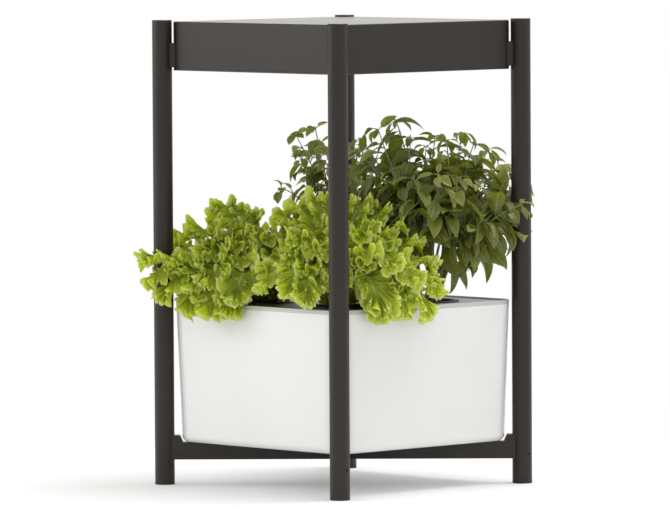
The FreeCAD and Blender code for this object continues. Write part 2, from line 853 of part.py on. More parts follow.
def make_gauge():
    """A float in a slotted guide under the deck lifts the level pointer above the deck."""
    guide = new_body("float_guide")
    ring = sketch_on(guide, "guide_ring", height=dim.guide_bottom)
    regular(ring, 12, dim.guide_diameter / 2)
    regular(ring, 12, dim.guide_diameter / 2 - 1.6)
    pad(guide, ring, dim.tub_top - dim.guide_bottom)
    slot = sketch_on(guide, "guide_slot", "XZ_Plane")
    rectangle(slot, 8, 76, 0, dim.guide_bottom + 44)
    pocket(guide, slot, 60, both=True)
    place(guide, (0, dim.gauge_place, 0))

    surface = dim.tub_top + dim.deck_thick
    body = new_body("level_float")
    layers = (
        ("float_disc", dim.float_low, dim.float_low + dim.float_thick, 12, dim.float_diameter / 2),
        ("float_rod", dim.float_low + dim.float_thick, surface, 8, dim.float_rod / 2),
        ("float_head", surface, surface + 3, 16, dim.float_rod / 2 + 2.2),
    )
    for name, low, high, sides, reach in layers:
        layer = sketch_on(body, name, height=low)
        regular(layer, sides, reach)
        pad(body, layer, high - low)
    place(body, (0, dim.gauge_place, 0))


def make_flap():
    """The fill port's lid; its round knuckle turns on the pin between the deck's two ears."""
    surface = dim.tub_top + dim.deck_thick
    axis = surface + dim.hinge_rise
    body = new_body("fill_flap")
    plate = sketch_on(body, "flap_plate", height=surface)
    near = dim.port_place - dim.port_depth / 2 - 4
    rear = dim.flap_pin_place - dim.hinge_ear - 1.6
    half = dim.port_width / 2 + 4
    grip = 8
    corners = [(-half, near), (-grip, near), (-grip, near - 4), (grip, near - 4), (grip, near), (half, near)]
    outline(plate, corners + [(half, rear), (-half, rear)])
    pad(body, plate, dim.flap_thick)
    web = sketch_on(body, "flap_web", "YZ_Plane")
    low, high = surface + 0.3, surface + dim.flap_thick
    back = dim.flap_pin_place
    outline(web, [(rear - 1, low), (back, low), (back, high), (rear - 1, high)])
    pad(body, web, 49, both=True)
    knuckle = sketch_on(body, "flap_knuckle", "YZ_Plane")
    circle(knuckle, dim.hinge_rise - 0.2, back, axis)
    pad(body, knuckle, 49, both=True)
    bore = dim.flap_pin_diameter / 2 + dim.running_gap
    drill(body, "pin_bore", bore, (-30, back, axis), (1, 0, 0), 60)

    rod = new_body("flap_pin")
    section = sketch_on(rod, "pin_section")
    circle(section, dim.flap_pin_diameter / 2)
    pad(rod, section, 56)
    place_along(rod, (-28, back, axis), (1, 0, 0))


def make_hood():
    body = new_body("hood_shell")
    top = sketch_on(body, "hood_outline", height=dim.hood_bottom + SHADOW_GAP)
    rounded(top, dim.hood_width, dim.hood_width, dim.hood_corner)
    pad(body, top, dim.hood_top - dim.hood_bottom - SHADOW_GAP)
    dress(body, "Chamfer", "hood_edge", at_height(dim.hood_top), Size=1)
    inside = dim.hood_width - 2 * dim.hood_wall
    cave = sketch_on(body, "hood_inside", height=dim.hood_top - dim.hood_wall)
    rounded(cave, inside, inside, dim.hood_corner - dim.hood_wall)
    pocket(body, cave, dim.hood_top - dim.hood_bottom)
    bosses = sketch_on(body, "bosses", height=dim.hood_top - dim.hood_wall)
    pilots = sketch_on(body, "pilots", height=dim.spreader_low + dim.spreader_thick)
    for side, row in CORNERS.values():
        spot = side * dim.boss_place_x, row * dim.boss_place_y
        rectangle(bosses, dim.boss_diameter, dim.boss_diameter, *spot)
        rectangle(pilots, 2.4, 2.4, *spot)
    reach = dim.hood_top - dim.hood_wall - dim.spreader_low - dim.spreader_thick
    pad(body, bosses, reach, down=True)
    pocket(body, pilots, 12, up=True)
    rear = dim.hood_width / 2 - dim.hood_wall - 1
    for name, place_x in (("light", 30), ("pump", 60)):
        spot = place_x, rear, dim.button_height
        drill(body, name + "_button_hole", dim.button_diameter / 2 + 0.3, spot, (0, 1, 0), 10)
    drill(body, "jack_hole", 6.2, (-20, rear, dim.button_height), (0, 1, 0), 10, 12)
    lead = -130, 130, dim.lead_high
    drill(body, "lead_hole", dim.lead_diameter * 0.7, lead, (-1, 1, 0), 60, 8)


def make_bezel():
    body = new_body("light_bezel")
    flange = sketch_on(body, "bezel_flange", height=dim.bezel_bottom)
    rounded(flange, dim.hood_width, dim.hood_width, dim.hood_corner)
    pad(body, flange, dim.hood_bottom - dim.bezel_bottom)
    upstand = sketch_on(body, "bezel_upstand", height=dim.hood_bottom)
    fit = dim.hood_width - 2 * dim.hood_wall - 0.1
    rounded(upstand, fit, fit, dim.hood_corner - dim.hood_wall + 1)
    pad(body, upstand, dim.bezel_top - dim.hood_bottom)
    rebate = sketch_on(body, "rebate", height=dim.bezel_top)
    rectangle(rebate, dim.diffuser_width + 1, dim.diffuser_width + 1)
    pocket(body, rebate, dim.bezel_top - dim.bezel_ledge)
    window = sketch_on(body, "window", height=dim.bezel_ledge)
    rectangle(window, dim.bezel_opening, dim.bezel_opening)
    pocket(body, window, dim.bezel_ledge - dim.bezel_bottom)

    lens = block(
        "diffuser",
        (-dim.diffuser_width / 2, -dim.diffuser_width / 2, dim.bezel_ledge),
        (dim.diffuser_width / 2, dim.diffuser_width / 2, dim.bezel_ledge + 2),
    )
    parts.append(lens)


def make_lamp():
    """Aluminium spreader on the hood's bosses, with the lamp board and its chips under it."""
    body = new_body("heat_spreader")
    plate = sketch_on(body, "spreader_plate", height=dim.spreader_low)
    rectangle(plate, dim.spreader_width, dim.spreader_width)
    for side, row in CORNERS.values():
        rectangle(plate, 3.4, 3.4, side * dim.boss_place_x, row * dim.boss_place_y)
    pad(body, plate, dim.spreader_thick)
    fins = sketch_on(body, "fins", height=dim.spreader_low + dim.spreader_thick)
    for step in range(6):
        rectangle(fins, 2, 150, 30 + 12 * step, -20)
    pad(body, fins, 14)

    board = dim.board_width / 2
    low = dim.spreader_low - dim.board_thick
    corner = (-board, -board, low)
    parts.append(block("led_board", corner, (board, board, dim.spreader_low)))
    pitch = dim.board_width / 6
    chips = []
    for number in range(36):
        x = (number % 6 - 2.5) * pitch
        y = (number // 6 - 2.5) * pitch
        chip = (x - 2, y - 2, low - 1), (x + 2, y + 2, low)
        chips.append(block("chip_%d" % number, *chip))
    group("led_chips", chips)

    screws = []
    for corner, (side, row) in CORNERS.items():
        spot = side * dim.boss_place_x, row * dim.boss_place_y
        head = spot + (dim.spreader_low - 2,)
        cap = prism("screw_cap_" + corner, 12, 3.5, 2, head)
        stem = prism("screw_stem_" + corner, 6, 1.15, 12, head)
        screw = doc.addObject("Part::Fuse", "hood_screw_" + corner)
        screw.Base = cap
        screw.Tool = stem
        screws.append(screw)
    group("hood_screws", screws)


def make_controls():
    """Driver box, control board, jack and two push buttons behind the hood's rear wall."""
    top = dim.spreader_low + dim.spreader_thick
    driver = new_body("driver_box")
    base = sketch_on(driver, "driver_base", height=top)
    rectangle(base, 70, 46)
    pad(driver, base, 24)
    upper = at_height(top + 24)
    dress(driver, "Fillet", "driver_edge", upper, Radius=2)
    reach = dim.lead_end - 23
    place(driver, (-reach * HALF_DIAGONAL, reach * HALF_DIAGONAL, 0), 45)

    wall = dim.hood_width / 2 - dim.hood_wall
    board = new_body("control_board")
    sheet_of_board = sketch_on(board, "board_outline", "XZ_Plane", -(wall - 12))
    rectangle(sheet_of_board, 112, 26, 20, dim.button_height)
    pad(board, sheet_of_board, 1.6)
    switches = sketch_on(board, "switches", "XZ_Plane", -(wall - 12))
    for place_x in (30, 60):
        rectangle(switches, 6, 6, place_x, dim.button_height)
    pad(board, switches, 3.5, down=True)
    pillars = sketch_on(board, "pillars", "XZ_Plane", -(wall - 12))
    for place_x in (-2, 72):
        rectangle(pillars, 5, 5, place_x, dim.button_height)
    pad(board, pillars, 12, down=True)

    for name, place_x in (("light_button", 30), ("pump_button", 60)):
        button = new_body(name)
        radius = dim.button_diameter / 2
        stem = sketch_on(button, name + "_stem")
        rectangle(stem, 6, 6)
        pad(button, stem, 4)
        stop = sketch_on(button, name + "_stop", height=4)
        rectangle(stop, 2 * radius + 3, 2 * radius + 3)
        pad(button, stop, 2)
        face = sketch_on(button, name + "_face", height=6)
        circle(face, radius)
        pad(button, face, 5.2)
        place_along(button, (place_x, wall - 6.1, dim.button_height), (0, 1, 0))

    jack = new_body("power_jack")
    bore = dim.jack_bore / 2
    barrel = sketch_on(jack, "jack_barrel")
    regular(barrel, 12, 5.8)
    pad(jack, barrel, 12.1)
    flange = sketch_on(jack, "jack_flange", height=12.1)
    regular(flange, 24, 7.6)
    pad(jack, flange, 2.1)
    mouth = sketch_on(jack, "jack_mouth", height=14.2)
    circle(mouth, bore)
    pocket(jack, mouth, 12.2)
    contact = sketch_on(jack, "centre_pin")
    regular(contact, 8, 1)
    pad(jack, contact, 12)
    place_along(jack, (-20, wall - 10.1, dim.button_height), (0, 1, 0))


def make_brackets():
    """Four equal saddles between the posts and the hood's rounded corners."""
    brackets = []
    diagonal = dim.post_pitch / 2 / HALF_DIAGONAL
    corner_centre = (dim.hood_width / 2 - dim.hood_corner) / HALF_DIAGONAL
    turns = {"front_left": -135, "front_right": -45, "rear_right": 45, "rear_left": 135}
    height = dim.bracket_top - dim.bracket_bottom
    for corner, turn in turns.items():
        body = new_body("bracket_" + corner, alone=False)
        plan = sketch_on(body, "bracket_plan_" + corner, height=dim.bracket_bottom)
        inner, outer = corner_centre + 12, diagonal - 9
        rectangle(plan, outer - inner, dim.bracket_width, (outer + inner) / 2)
        pad(body, plan, height)
        low = dim.bracket_bottom - 1
        post_at = diagonal, 0, low
        hood_at = corner_centre, 0, low
        up = 0, 0, 1
        drill(body, "post_saddle_" + corner, dim.post_diameter / 2, post_at, up, height + 2)
        drill(body, "hood_saddle_" + corner, dim.hood_corner, hood_at, up, height + 2)
        through = corner_centre, 0, dim.lead_high
        drill(body, "way_" + corner, dim.lead_diameter * 0.7, through, (1, 0, 0), 40, 8)
        place(body, turn=turn)
        brackets.append(body)
    group("hood_brackets", brackets)


def make_lead():
    """The pump's lead: along the tub floor, up its corner, through the grommet and up a post."""
    ring = new_body("grommet")
    wall = (dim.tub_width / 2 - dim.tub_corner) / HALF_DIAGONAL + dim.tub_corner
    outer = wall - 0.7
    bore = dim.lead_diameter / 2
    for name, reach, start, end in (
        ("inner_flange", 6.2, -7.4, -4.9),
        ("neck", 4.4, -4.9, 0.3),
        ("outer_flange", 5.6, 0.3, 1.9),
    ):
        section = sketch_on(ring, name, height=outer + start)
        regular(section, 12, bore + 0.1)
        regular(section, 12, reach * math.cos(math.pi / 12))
        pad(ring, section, end - start)
    place_along(ring, (0, 0, dim.lead_low), (-1, 1, 0))

    diagonal = dim.post_pitch / 2 / HALF_DIAGONAL
    motor_end = dim.pump_length - dim.chamber_depth / 2
    corners = [
        (motor_end, dim.lead_floor),
        (dim.lead_corner, dim.lead_floor),
        (dim.lead_corner, dim.lead_low),
        (diagonal, dim.lead_low),
        (diagonal, dim.lead_high),
        (dim.lead_end, dim.lead_high),
    ]
    route = rounded_route([V(x, 0, z) for x, z in corners], [0, 30, 14, 8, 8, 0])
    start = V(motor_end, 0, dim.lead_floor)
    turns = [math.radians(60 * step + 30) for step in range(6)]
    ring = [start + V(0, bore * math.cos(turn), bore * math.sin(turn)) for turn in turns]
    section = Part.makePolygon(ring + ring[:1])
    lead = doc.addObject("Part::Feature", "wiring_lead")
    lead.Label = "wiring_lead"
    tube = route.makePipeShell([section], True, False)
    lead.Shape = tube
    place(lead, turn=135)
    parts.append(lead)
    expected = Part.Face(section).Area * route.Length
    print("lead: length %.1f, volume %.3f of section times length" % (route.Length, tube.Volume / expected))


def rounded_route(points, radii):
    """Straight runs joined by tangent arcs of the given radii at the inner points."""
    edges = []
    here = points[0]
    for before, corner, after, radius in zip(points, points[1:], points[2:], radii[1:]):
        back = (before - corner).normalize()
        ahead = (after - corner).normalize()
        half = (math.pi - back.getAngle(ahead)) / 2
        cut_back = radius * math.tan(half)
        first = corner + back * cut_back
        last = corner + ahead * cut_back
        inward = (back + ahead).normalize()
        centre = corner + inward * (radius / math.cos(half))
        middle = centre - inward * radius
        edges.append(Part.LineSegment(here, first).toShape())
        edges.append(Part.Arc(first, middle, last).toShape())
        here = last
    edges.append(Part.LineSegment(here, points[-1]).toShape())
    return Part.Wire(edges)


def write_parts():
    doc.recompute()
    for item in doc.Objects:
        if "Invalid" in item.State or "Error" in item.State:
            raise ValueError("%s is %s" % (item.Label, item.State))
    for item in parts:
        if item.Shape.isNull() or not item.Shape.isValid():
            raise ValueError(item.Label + " has no valid shape")
    os.makedirs("parts", exist_ok=True)
    for item in parts:
        item.Shape.exportStep("parts/%s.step" % item.Label)
    print("parts:", len(parts))


make_posts()
make_brace()
make_brace_screws()
make_tub()
make_deck()
make_baskets()
make_lettuces()
make_herbs()
make_pump()
make_watering()
make_gauge()
make_flap()
make_hood()
make_bezel()
make_lamp()
make_controls()
make_brackets()
make_lead()
write_parts()
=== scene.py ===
import json
import math
import bpy
import numpy as np
from mathutils import Matrix, Vector


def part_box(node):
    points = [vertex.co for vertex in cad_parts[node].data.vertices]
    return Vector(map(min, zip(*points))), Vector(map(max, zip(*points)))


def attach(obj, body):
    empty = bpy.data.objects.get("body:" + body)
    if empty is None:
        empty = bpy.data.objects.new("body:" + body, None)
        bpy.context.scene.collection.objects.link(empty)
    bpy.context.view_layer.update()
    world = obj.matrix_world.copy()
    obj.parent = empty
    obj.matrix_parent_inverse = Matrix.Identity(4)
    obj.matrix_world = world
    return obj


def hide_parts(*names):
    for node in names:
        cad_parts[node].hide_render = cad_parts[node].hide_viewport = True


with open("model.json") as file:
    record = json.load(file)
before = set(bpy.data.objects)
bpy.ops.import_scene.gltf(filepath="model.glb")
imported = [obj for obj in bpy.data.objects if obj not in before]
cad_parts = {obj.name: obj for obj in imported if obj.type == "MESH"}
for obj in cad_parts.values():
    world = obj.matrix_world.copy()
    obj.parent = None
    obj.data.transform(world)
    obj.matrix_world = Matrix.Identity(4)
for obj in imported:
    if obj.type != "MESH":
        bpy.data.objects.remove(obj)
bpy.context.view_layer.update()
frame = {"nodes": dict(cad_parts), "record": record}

nodes = frame["nodes"]
mm = 0.001
tiny = 1e-9  # keeps a length of nothing from dividing
upright = np.array([0, 0, 1.0])
down = np.array([0, 0, -1.0])


# shader wires
class Wire:
    # one socket; sums and products on it add Math nodes
    def __init__(self, tree, socket=None):
        self.tree = tree
        self.socket = socket

    def node(self, kind, settings=None, values=None, out=0):
        made = self.tree.nodes.new("ShaderNode" + kind)
        for name, value in (settings or {}).items():
            setattr(made, name, value)
        for name, value in (values or {}).items():
            if isinstance(value, Wire):
                self.tree.links.new(value.socket, made.inputs[name])
            else:
                made.inputs[name].default_value = value
        return Wire(self.tree, made.outputs[out] if made.outputs else None)

    def maths(self, operation, *values):
        return self.node("Math", {"operation": operation}, dict(enumerate(values)))

    def __add__(self, other):
        return self.maths("ADD", self, other)

    def __radd__(self, other):
        return self.maths("ADD", other, self)

    def __sub__(self, other):
        return self.maths("SUBTRACT", self, other)

    def __rsub__(self, other):
        return self.maths("SUBTRACT", other, self)

    def __mul__(self, other):
        return self.maths("MULTIPLY", self, other)

    def rise(self, low, high):
        # 0 below low, 1 above high, smooth between
        settings = {"interpolation_type": "SMOOTHSTEP"}
        return self.node("MapRange", settings, {"Value": self, "From Min": low, "From Max": high})

    def mix(self, first, second):
        # colour first where this wire is 0, second where it is 1; 6, 7 and 2 are the node's colour sockets
        return self.node("Mix", {"data_type": "RGBA"}, {0: self, 6: opaque(first), 7: opaque(second)}, 2)

    def noise(self, scale, detail=2.0, rough=0.5):
        values = {"Vector": self, "Scale": scale, "Detail": detail, "Roughness": rough}
        return self.node("TexNoise", None, values)

    def axis(self, which):
        return self.node("SeparateXYZ", None, {0: self}, which)


def opaque(colour):
    return colour if isinstance(colour, Wire) else (*colour, 1.0)


def newFinish(name):
    made = bpy.data.materials.new(name)
    made.use_nodes = True
    made.node_tree.nodes.clear()
    root = Wire(made.node_tree)
    return made, root, root.node("TexCoord", None, None, 3)


def close(root, surface):
    root.node("OutputMaterial", None, {"Surface": surface})


# plain finish: a colour that drifts a little, a roughness that drifts, and a fine bump;
# smoothTop takes roughness away where a surface looks straight up
mould = {"driftScale": 9.0, "driftShare": 0.7, "grainShare": 0.3, "streakShare": 0.7,
         "colourSpan": (0.3, 0.7), "levelSpan": (0.8, 0.97), "roughDrift": 0.08,
         "coatRoughness": 0.12, "ior": 1.5}


def mouldedFinish(name, look):
    made, root, place = newFinish(name)
    drift = place.noise(look.get("driftScale", mould["driftScale"]), 3.0)
    grain = place.noise(look["grainScale"], 2.0, 0.6)
    shade = (drift * mould["driftShare"] + grain * mould["grainShare"]).rise(*mould["colourSpan"])
    height = grain
    if "scratch" in look:
        streak = place.node("Mapping", None, {"Vector": place, "Scale": look["scratch"]})
        height = grain * mould["grainShare"] + streak.noise(1.0, 3.0) * mould["streakShare"]
    bump = root.node("Bump", None, {"Strength": look["bump"], "Distance": look["depth"], "Height": height})
    lookingUp = root.node("TexCoord", None, None, 1).axis(2).rise(*mould["levelSpan"])
    roughness = look["roughness"] + (drift - 0.5) * look.get("roughDrift", mould["roughDrift"])
    values = {
        "Base Color": shade.mix(look["colour"], look["colour2"]),
        "Roughness": roughness - lookingUp * look.get("smoothTop", 0.0),
        "Metallic": look.get("metallic", 0.0),
        "Normal": bump,
        "Coat Weight": look.get("coat", 0.0),
        "Coat Roughness": mould["coatRoughness"],
        "IOR": look.get("ior", mould["ior"]),
    }
    close(root, root.node("BsdfPrincipled", None, values))
    return made


finishes = {
    "dark_paint": {"colour": (0.023, 0.0175, 0.0135), "colour2": (0.027, 0.021, 0.0165),
                   "roughness": 0.38, "grainScale": 1400.0, "bump": 0.18, "depth": 0.0002, "ior": 1.38,
                   "smoothTop": 0.24},
    "black_rubber": {"colour": (0.012, 0.012, 0.012), "colour2": (0.018, 0.017, 0.016), "roughness": 0.62,
                     "grainScale": 700.0, "bump": 0.3, "depth": 0.0003},
    "dark_plastic": {"colour": (0.02, 0.02, 0.019), "colour2": (0.026, 0.025, 0.024), "roughness": 0.48,
                     "grainScale": 900.0, "bump": 0.25, "depth": 0.0002},
    "screw_steel": {"colour": (0.42, 0.41, 0.4), "colour2": (0.5, 0.49, 0.47), "roughness": 0.3,
                    "metallic": 1.0, "grainScale": 600.0, "bump": 0.08, "depth": 0.0001},
    "white_gloss": {"colour": (0.77, 0.77, 0.755), "colour2": (0.79, 0.79, 0.778), "roughness": 0.2,
                    "grainScale": 60.0, "bump": 0.05, "depth": 0.0003, "coat": 0.4, "roughDrift": 0.05},
    "deck_grey": {"colour": (0.5, 0.505, 0.5), "colour2": (0.54, 0.545, 0.54), "roughness": 0.34,
                  "grainScale": 900.0, "bump": 0.12, "depth": 0.0002},
    "float_white": {"colour": (0.74, 0.74, 0.72), "colour2": (0.78, 0.78, 0.76), "roughness": 0.4,
                    "grainScale": 500.0, "bump": 0.1, "depth": 0.0002},
    "dark_trim": {"colour": (0.024, 0.021, 0.018), "colour2": (0.03, 0.026, 0.023), "roughness": 0.42,
                  "grainScale": 1100.0, "bump": 0.2, "depth": 0.0002},
    "opal": {"colour": (0.86, 0.86, 0.84), "colour2": (0.88, 0.88, 0.87), "roughness": 0.5,
             "grainScale": 1500.0, "bump": 0.1, "depth": 0.0001},
    "board_white": {"colour": (0.7, 0.7, 0.66), "colour2": (0.74, 0.74, 0.71), "roughness": 0.4,
                    "grainScale": 400.0, "bump": 0.1, "depth": 0.0002},
    "led_yellow": {"colour": (0.8, 0.6, 0.12), "colour2": (0.85, 0.66, 0.18), "roughness": 0.35,
                   "grainScale": 800.0, "bump": 0.1, "depth": 0.0001},
    "spreader_metal": {"colour": (0.62, 0.62, 0.64), "colour2": (0.68, 0.68, 0.7), "roughness": 0.32,
                       "metallic": 1.0, "grainScale": 500.0, "scratch": (900.0, 12.0, 900.0),
                       "bump": 0.15, "depth": 0.0002},
    "sponge": {"colour": (0.035, 0.024, 0.015), "colour2": (0.085, 0.06, 0.038), "roughness": 0.9,
               "driftScale": 260.0, "grainScale": 520.0, "bump": 0.9, "depth": 0.0012},
}
made = {name: mouldedFinish(name, look) for name, look in finishes.items()}

# the beam screws are painted over with the frame, whatever slot they hold
painted = {"brace_screws": "dark_paint"}
for part in frame["record"]["subparts"]:
    finish = made.get(painted.get(part["node"], part["material_slot"]))
    for holder in nodes[part["node"]].material_slots:
        if finish:
            holder.material = finish
print("finishes on", len(nodes), "nodes")


# camera fitted to the photo: turned about Z, tipped down, a little roll; wide and tall are the photo's pixels
bpy.context.scene.view_settings.view_transform = "Standard"

view = {"azimuth": 46.193, "down": 3.346, "roll": -0.315, "distance": 9.1826, "across": -0.009643,
        "height": 0.298747, "lens": 376.2, "sensor": 36.0, "farEnd": 200.0, "wide": 670, "tall": 513}
facing, tipped, roll = (math.radians(view[k]) for k in ("azimuth", "down", "roll"))
ahead = Vector((-math.sin(facing) * math.cos(tipped),
                math.cos(facing) * math.cos(tipped),
                -math.sin(tipped)))
right = Vector((math.cos(facing), math.sin(facing), 0))
up = right.cross(ahead)
spot = right * view["across"] + Vector((0, 0, view["height"])) - ahead * view["distance"]
right, up = math.cos(roll) * right + math.sin(roll) * up, math.cos(roll) * up - math.sin(roll) * right
lens = bpy.data.cameras.new("camera")
lens.lens = view["lens"]
lens.sensor_width = view["sensor"]
lens.sensor_fit = "HORIZONTAL"
lens.clip_end = view["farEnd"]
camera = bpy.data.objects.new("camera", lens)
camera.matrix_world = Matrix((right, up, -ahead)).transposed().to_4x4()
camera.matrix_world.translation = spot
bpy.context.scene.collection.objects.link(camera)
bpy.context.scene.camera = camera
print("camera at", [round(v, 3) for v in spot])


def fromView(px, py, depth):
    # the point seen at pixel (px, py) of the photo, depth mm behind the upright plane through the origin
    focal = view["lens"] / view["sensor"] * view["wide"]
    ray = ahead + right * ((px - view["wide"] / 2) / focal) - up * ((py - view["tall"] / 2) / focal)
    level = Vector((-math.sin(facing), math.cos(facing)))
    reach = (depth * mm - spot.xy.dot(level)) / ray.xy.dot(level)
    return np.array(spot + ray * reach)


# leaf finish: u runs round the margin, v from the midrib to the margin; "tone" differs from leaf to leaf.
# Veins are a zigzag of u with a slant in v; the midrib and a painted highlight along the margin are bands of
# v
leafSkin = {"sway": 0.5, "lineFade": (0.35, 0.95), "ribStart": 0.015, "patch": 0.35, "toneDrift": 0.5,
            "toneSpan": (0.1, 0.9), "lipSpan": (0.86, 1.0), "roughDrift": 0.15, "strength": 0.6,
            "fineHeight": 0.4, "lineHeight": -0.5, "veinHeight": 0.3, "creaseHeight": 2.2}


def leafFinish(name, look):
    made, root, place = newFinish(name)
    chart = root.node("UVMap", {"uv_map": "leaf"})
    u = chart.axis(0)
    v = chart.axis(1)
    tone = root.node("Attribute", {"attribute_name": "tone"}, None, 2)
    wobble = place.noise(look["blotch"], 3.0)
    zigzag = u * look["veins"] + v * look["slant"] + wobble * leafSkin["sway"]
    vein = root.maths("PINGPONG", zigzag, 0.5) * 2.0
    line = (1.0 - vein.rise(0.0, look["veinWidth"])) * (1.0 - v.rise(*leafSkin["lineFade"]))
    rib = 1.0 - v.rise(leafSkin["ribStart"], look["ribWidth"])
    # painted shade: the colour darkens from the margin in towards the midrib, standing for the shade in the
    # hollows between curls
    edge = (v + (wobble - 0.5) * leafSkin["patch"]).rise(*look["edge"])
    deep = edge.mix(look["inner"], look["outer"])
    pale = edge.mix(look["inner2"], look["outer2"])
    body = (tone + (wobble - 0.5) * leafSkin["toneDrift"]).rise(*leafSkin["toneSpan"]).mix(deep, pale)
    # painted highlight: a pale margin colour laid over a band of v along the leaf's edge
    body = (v.rise(*leafSkin["lipSpan"]) * look["lip"]).mix(body, look["margin"])
    body = (line * look["veinShow"]).mix(body, look["rib"])
    body = (rib * look["ribShow"]).mix(body, look["rib"])
    fine = place.noise(look["grain"], 2.0)
    crease = place.noise(look["crinkle"], 3.0, 0.6)
    height = fine * leafSkin["fineHeight"] + line * leafSkin["lineHeight"] + vein * leafSkin["veinHeight"]
    height = height + crease * leafSkin["creaseHeight"]
    bumpValues = {"Strength": leafSkin["strength"], "Distance": look["relief"], "Height": height}
    bump = root.node("Bump", None, bumpValues)
    values = {
        "Base Color": body,
        "Roughness": look["roughness"] + (fine - 0.5) * leafSkin["roughDrift"],
        "Normal": bump,
        "Specular IOR Level": look["shine"],
    }
    skin = root.node("BsdfPrincipled", None, values)
    through = root.node("BsdfTranslucent", None, {"Color": opaque(look["through"]), "Normal": bump})
    close(root, root.node("MixShader", None, {0: look["thin"], 1: skin, 2: through}))
    return made


def surface(name, points, faces, finish, uv=None, tone=None):
    # points (n, 3) in metres; faces (m, 4) of indices; uv and tone by point
    mesh = bpy.data.meshes.new(name)
    mesh.from_pydata(points.tolist(), [], faces.tolist())
    mesh.polygons.foreach_set("use_smooth", np.ones(len(faces), dtype=bool))
    if uv is not None:
        layer = mesh.uv_layers.new(name="leaf")
        layer.data.foreach_set("uv", uv[faces.reshape(-1)].astype(np.float32).ravel())
    if tone is not None:
        mesh.attributes.new("tone", "FLOAT", "POINT").data.foreach_set("value", tone.astype(np.float32))
    mesh.update()
    piece = bpy.data.objects.new(name, mesh)
    bpy.context.scene.collection.objects.link(piece)
    mesh.materials.append(finish)
    return piece


def gridFaces(count, rows, columns):
    # quads of count grids, each rows by columns points, one after another
    first = np.arange(rows - 1)[:, None] * columns + np.arange(columns - 1)[None, :]
    quad = np.stack([first, first + 1, first + columns + 1, first + columns], axis=-1).reshape(-1, 4)
    return (quad[None] + (np.arange(count) * rows * columns)[:, None, None]).reshape(-1, 4)


def each(values):
    # one value or vector per leaf, shaped to spread over that leaf's grid
    return np.asarray(values)[:, None, None]


def unit(v):
    return v / (np.linalg.norm(v, axis=-1, keepdims=True) + tiny)


tub = {"half": 166 * mm, "corner": 24 * mm, "rim": 242.5 * mm}
post = {"pitch": 332 * mm, "clear": 15.0 * mm}
# leaves may hang past the tub's edge, slope down for each 1 out;
# sides are the axis, the edge where pressing in starts, and the room past it
hanging = {"start": 2 * mm, "slope": 9, "soft": 3 * mm,
           "sides": ((0, 186 * mm, 19 * mm), (1, 208 * mm, 24 * mm))}


def clearOfFrame(p):
    # about each post's axis r' = (r^6 + clear^6)^(1/6). Past an edge a side presses in to
    # edge + room (1 - exp(-over / room)). With d the distance outside the tub's rounded square,
    # floor = rim - slope max(d + start, 0), gap = z - floor and z' = floor + (gap + (gap^2 + soft^2)^0.5) / 2
    for x in (-0.5, 0.5):
        for y in (-0.5, 0.5):
            axis = np.array([x, y]) * post["pitch"]
            away = p[..., :2] - axis
            r = np.linalg.norm(away, axis=-1, keepdims=True) + tiny
            p[..., :2] = axis + away / r * (r ** 6 + post["clear"] ** 6) ** (1 / 6)
    q = np.abs(p[..., :2]) - (tub["half"] - tub["corner"])
    d = np.linalg.norm(np.maximum(q, 0), axis=-1) + np.minimum(q.max(-1), 0) - tub["corner"]
    floor = tub["rim"] - np.maximum(d + hanging["start"], 0) * hanging["slope"]
    for side, edge, room in hanging["sides"]:
        size = np.abs(p[..., side])
        over = np.maximum(size - edge, 0)
        p[..., side] = np.sign(p[..., side]) * (np.minimum(size, edge) + room * (1 - np.exp(-over / room)))
    gap = p[..., 2] - floor
    p[..., 2] = floor + 0.5 * (gap + np.sqrt(gap ** 2 + hanging["soft"] ** 2))
    return p


# slow changes along a margin, at these shares of the ripple's own cycles
slow = {"wander": 0.31, "swell": 0.43, "swellDepth": 0.45}


def waves(rng, count, s, cycles, wander):
    # sin and cos of 2 pi cycles s plus a slow random phase, with a slow random swell, one row per leaf
    turn = rng.uniform(0, 2 * np.pi, (3, count, 1))
    shift = wander * np.sin(2 * np.pi * cycles * slow["wander"] * s + turn[1])
    phase = 2 * np.pi * cycles * s + turn[0] + shift
    swell = 1 + slow["swellDepth"] * np.sin(2 * np.pi * cycles * slow["swell"] * s + turn[2])
    return np.sin(phase) * swell, np.cos(phase) * swell


# frilled leaf: s runs round the margin from base over tip to base, t from the midrib out.
# The margin is at along = (1 + cos pi|s|) / 2, across = sin(pi|s|)^0.6 (0.12 + 0.88 along^0.8);
# the midrib is a bow from the crown. Three sets of ripples grow as powers of t, and a quarter turn
# between their lift and their run along the margin curls them over
frill = {
    "rows": 6, "columns": 332, "rowPower": 1.7, "traced": 600, "heart": 5 * mm, "root": 228 * mm,
    "blunt": 0.6, "waist": 0.12, "taper": 0.8, "longer": 3.6, "sparse": (0.12, 0.7), "pull": 0.14,
    "lobes": (2.2, 1.0, 0.10), "grow": (3.2, 0.05),
    "cycles": (3.4, 13.5, 30.0), "wander": (1.2, 1.6, 2.0), "ripple": (0.25, 0.17, 0.095),
    "liftPower": (1.3, 1.8, 2), "runPower": (2, 2.5, 3), "runShare": (0.5, 0.8, 0.5),
    "outPower": 3, "outLevel": 0.5, "outBlend": 0.3, "outShare": (0.6, 0.8), "cup": (0.3, 0.6),
    "blister": 2.2 * mm, "blisterWaves": (31, 13, 9), "blisterEnd": 4, "turn": 0.05, "lean": 0.35,
}


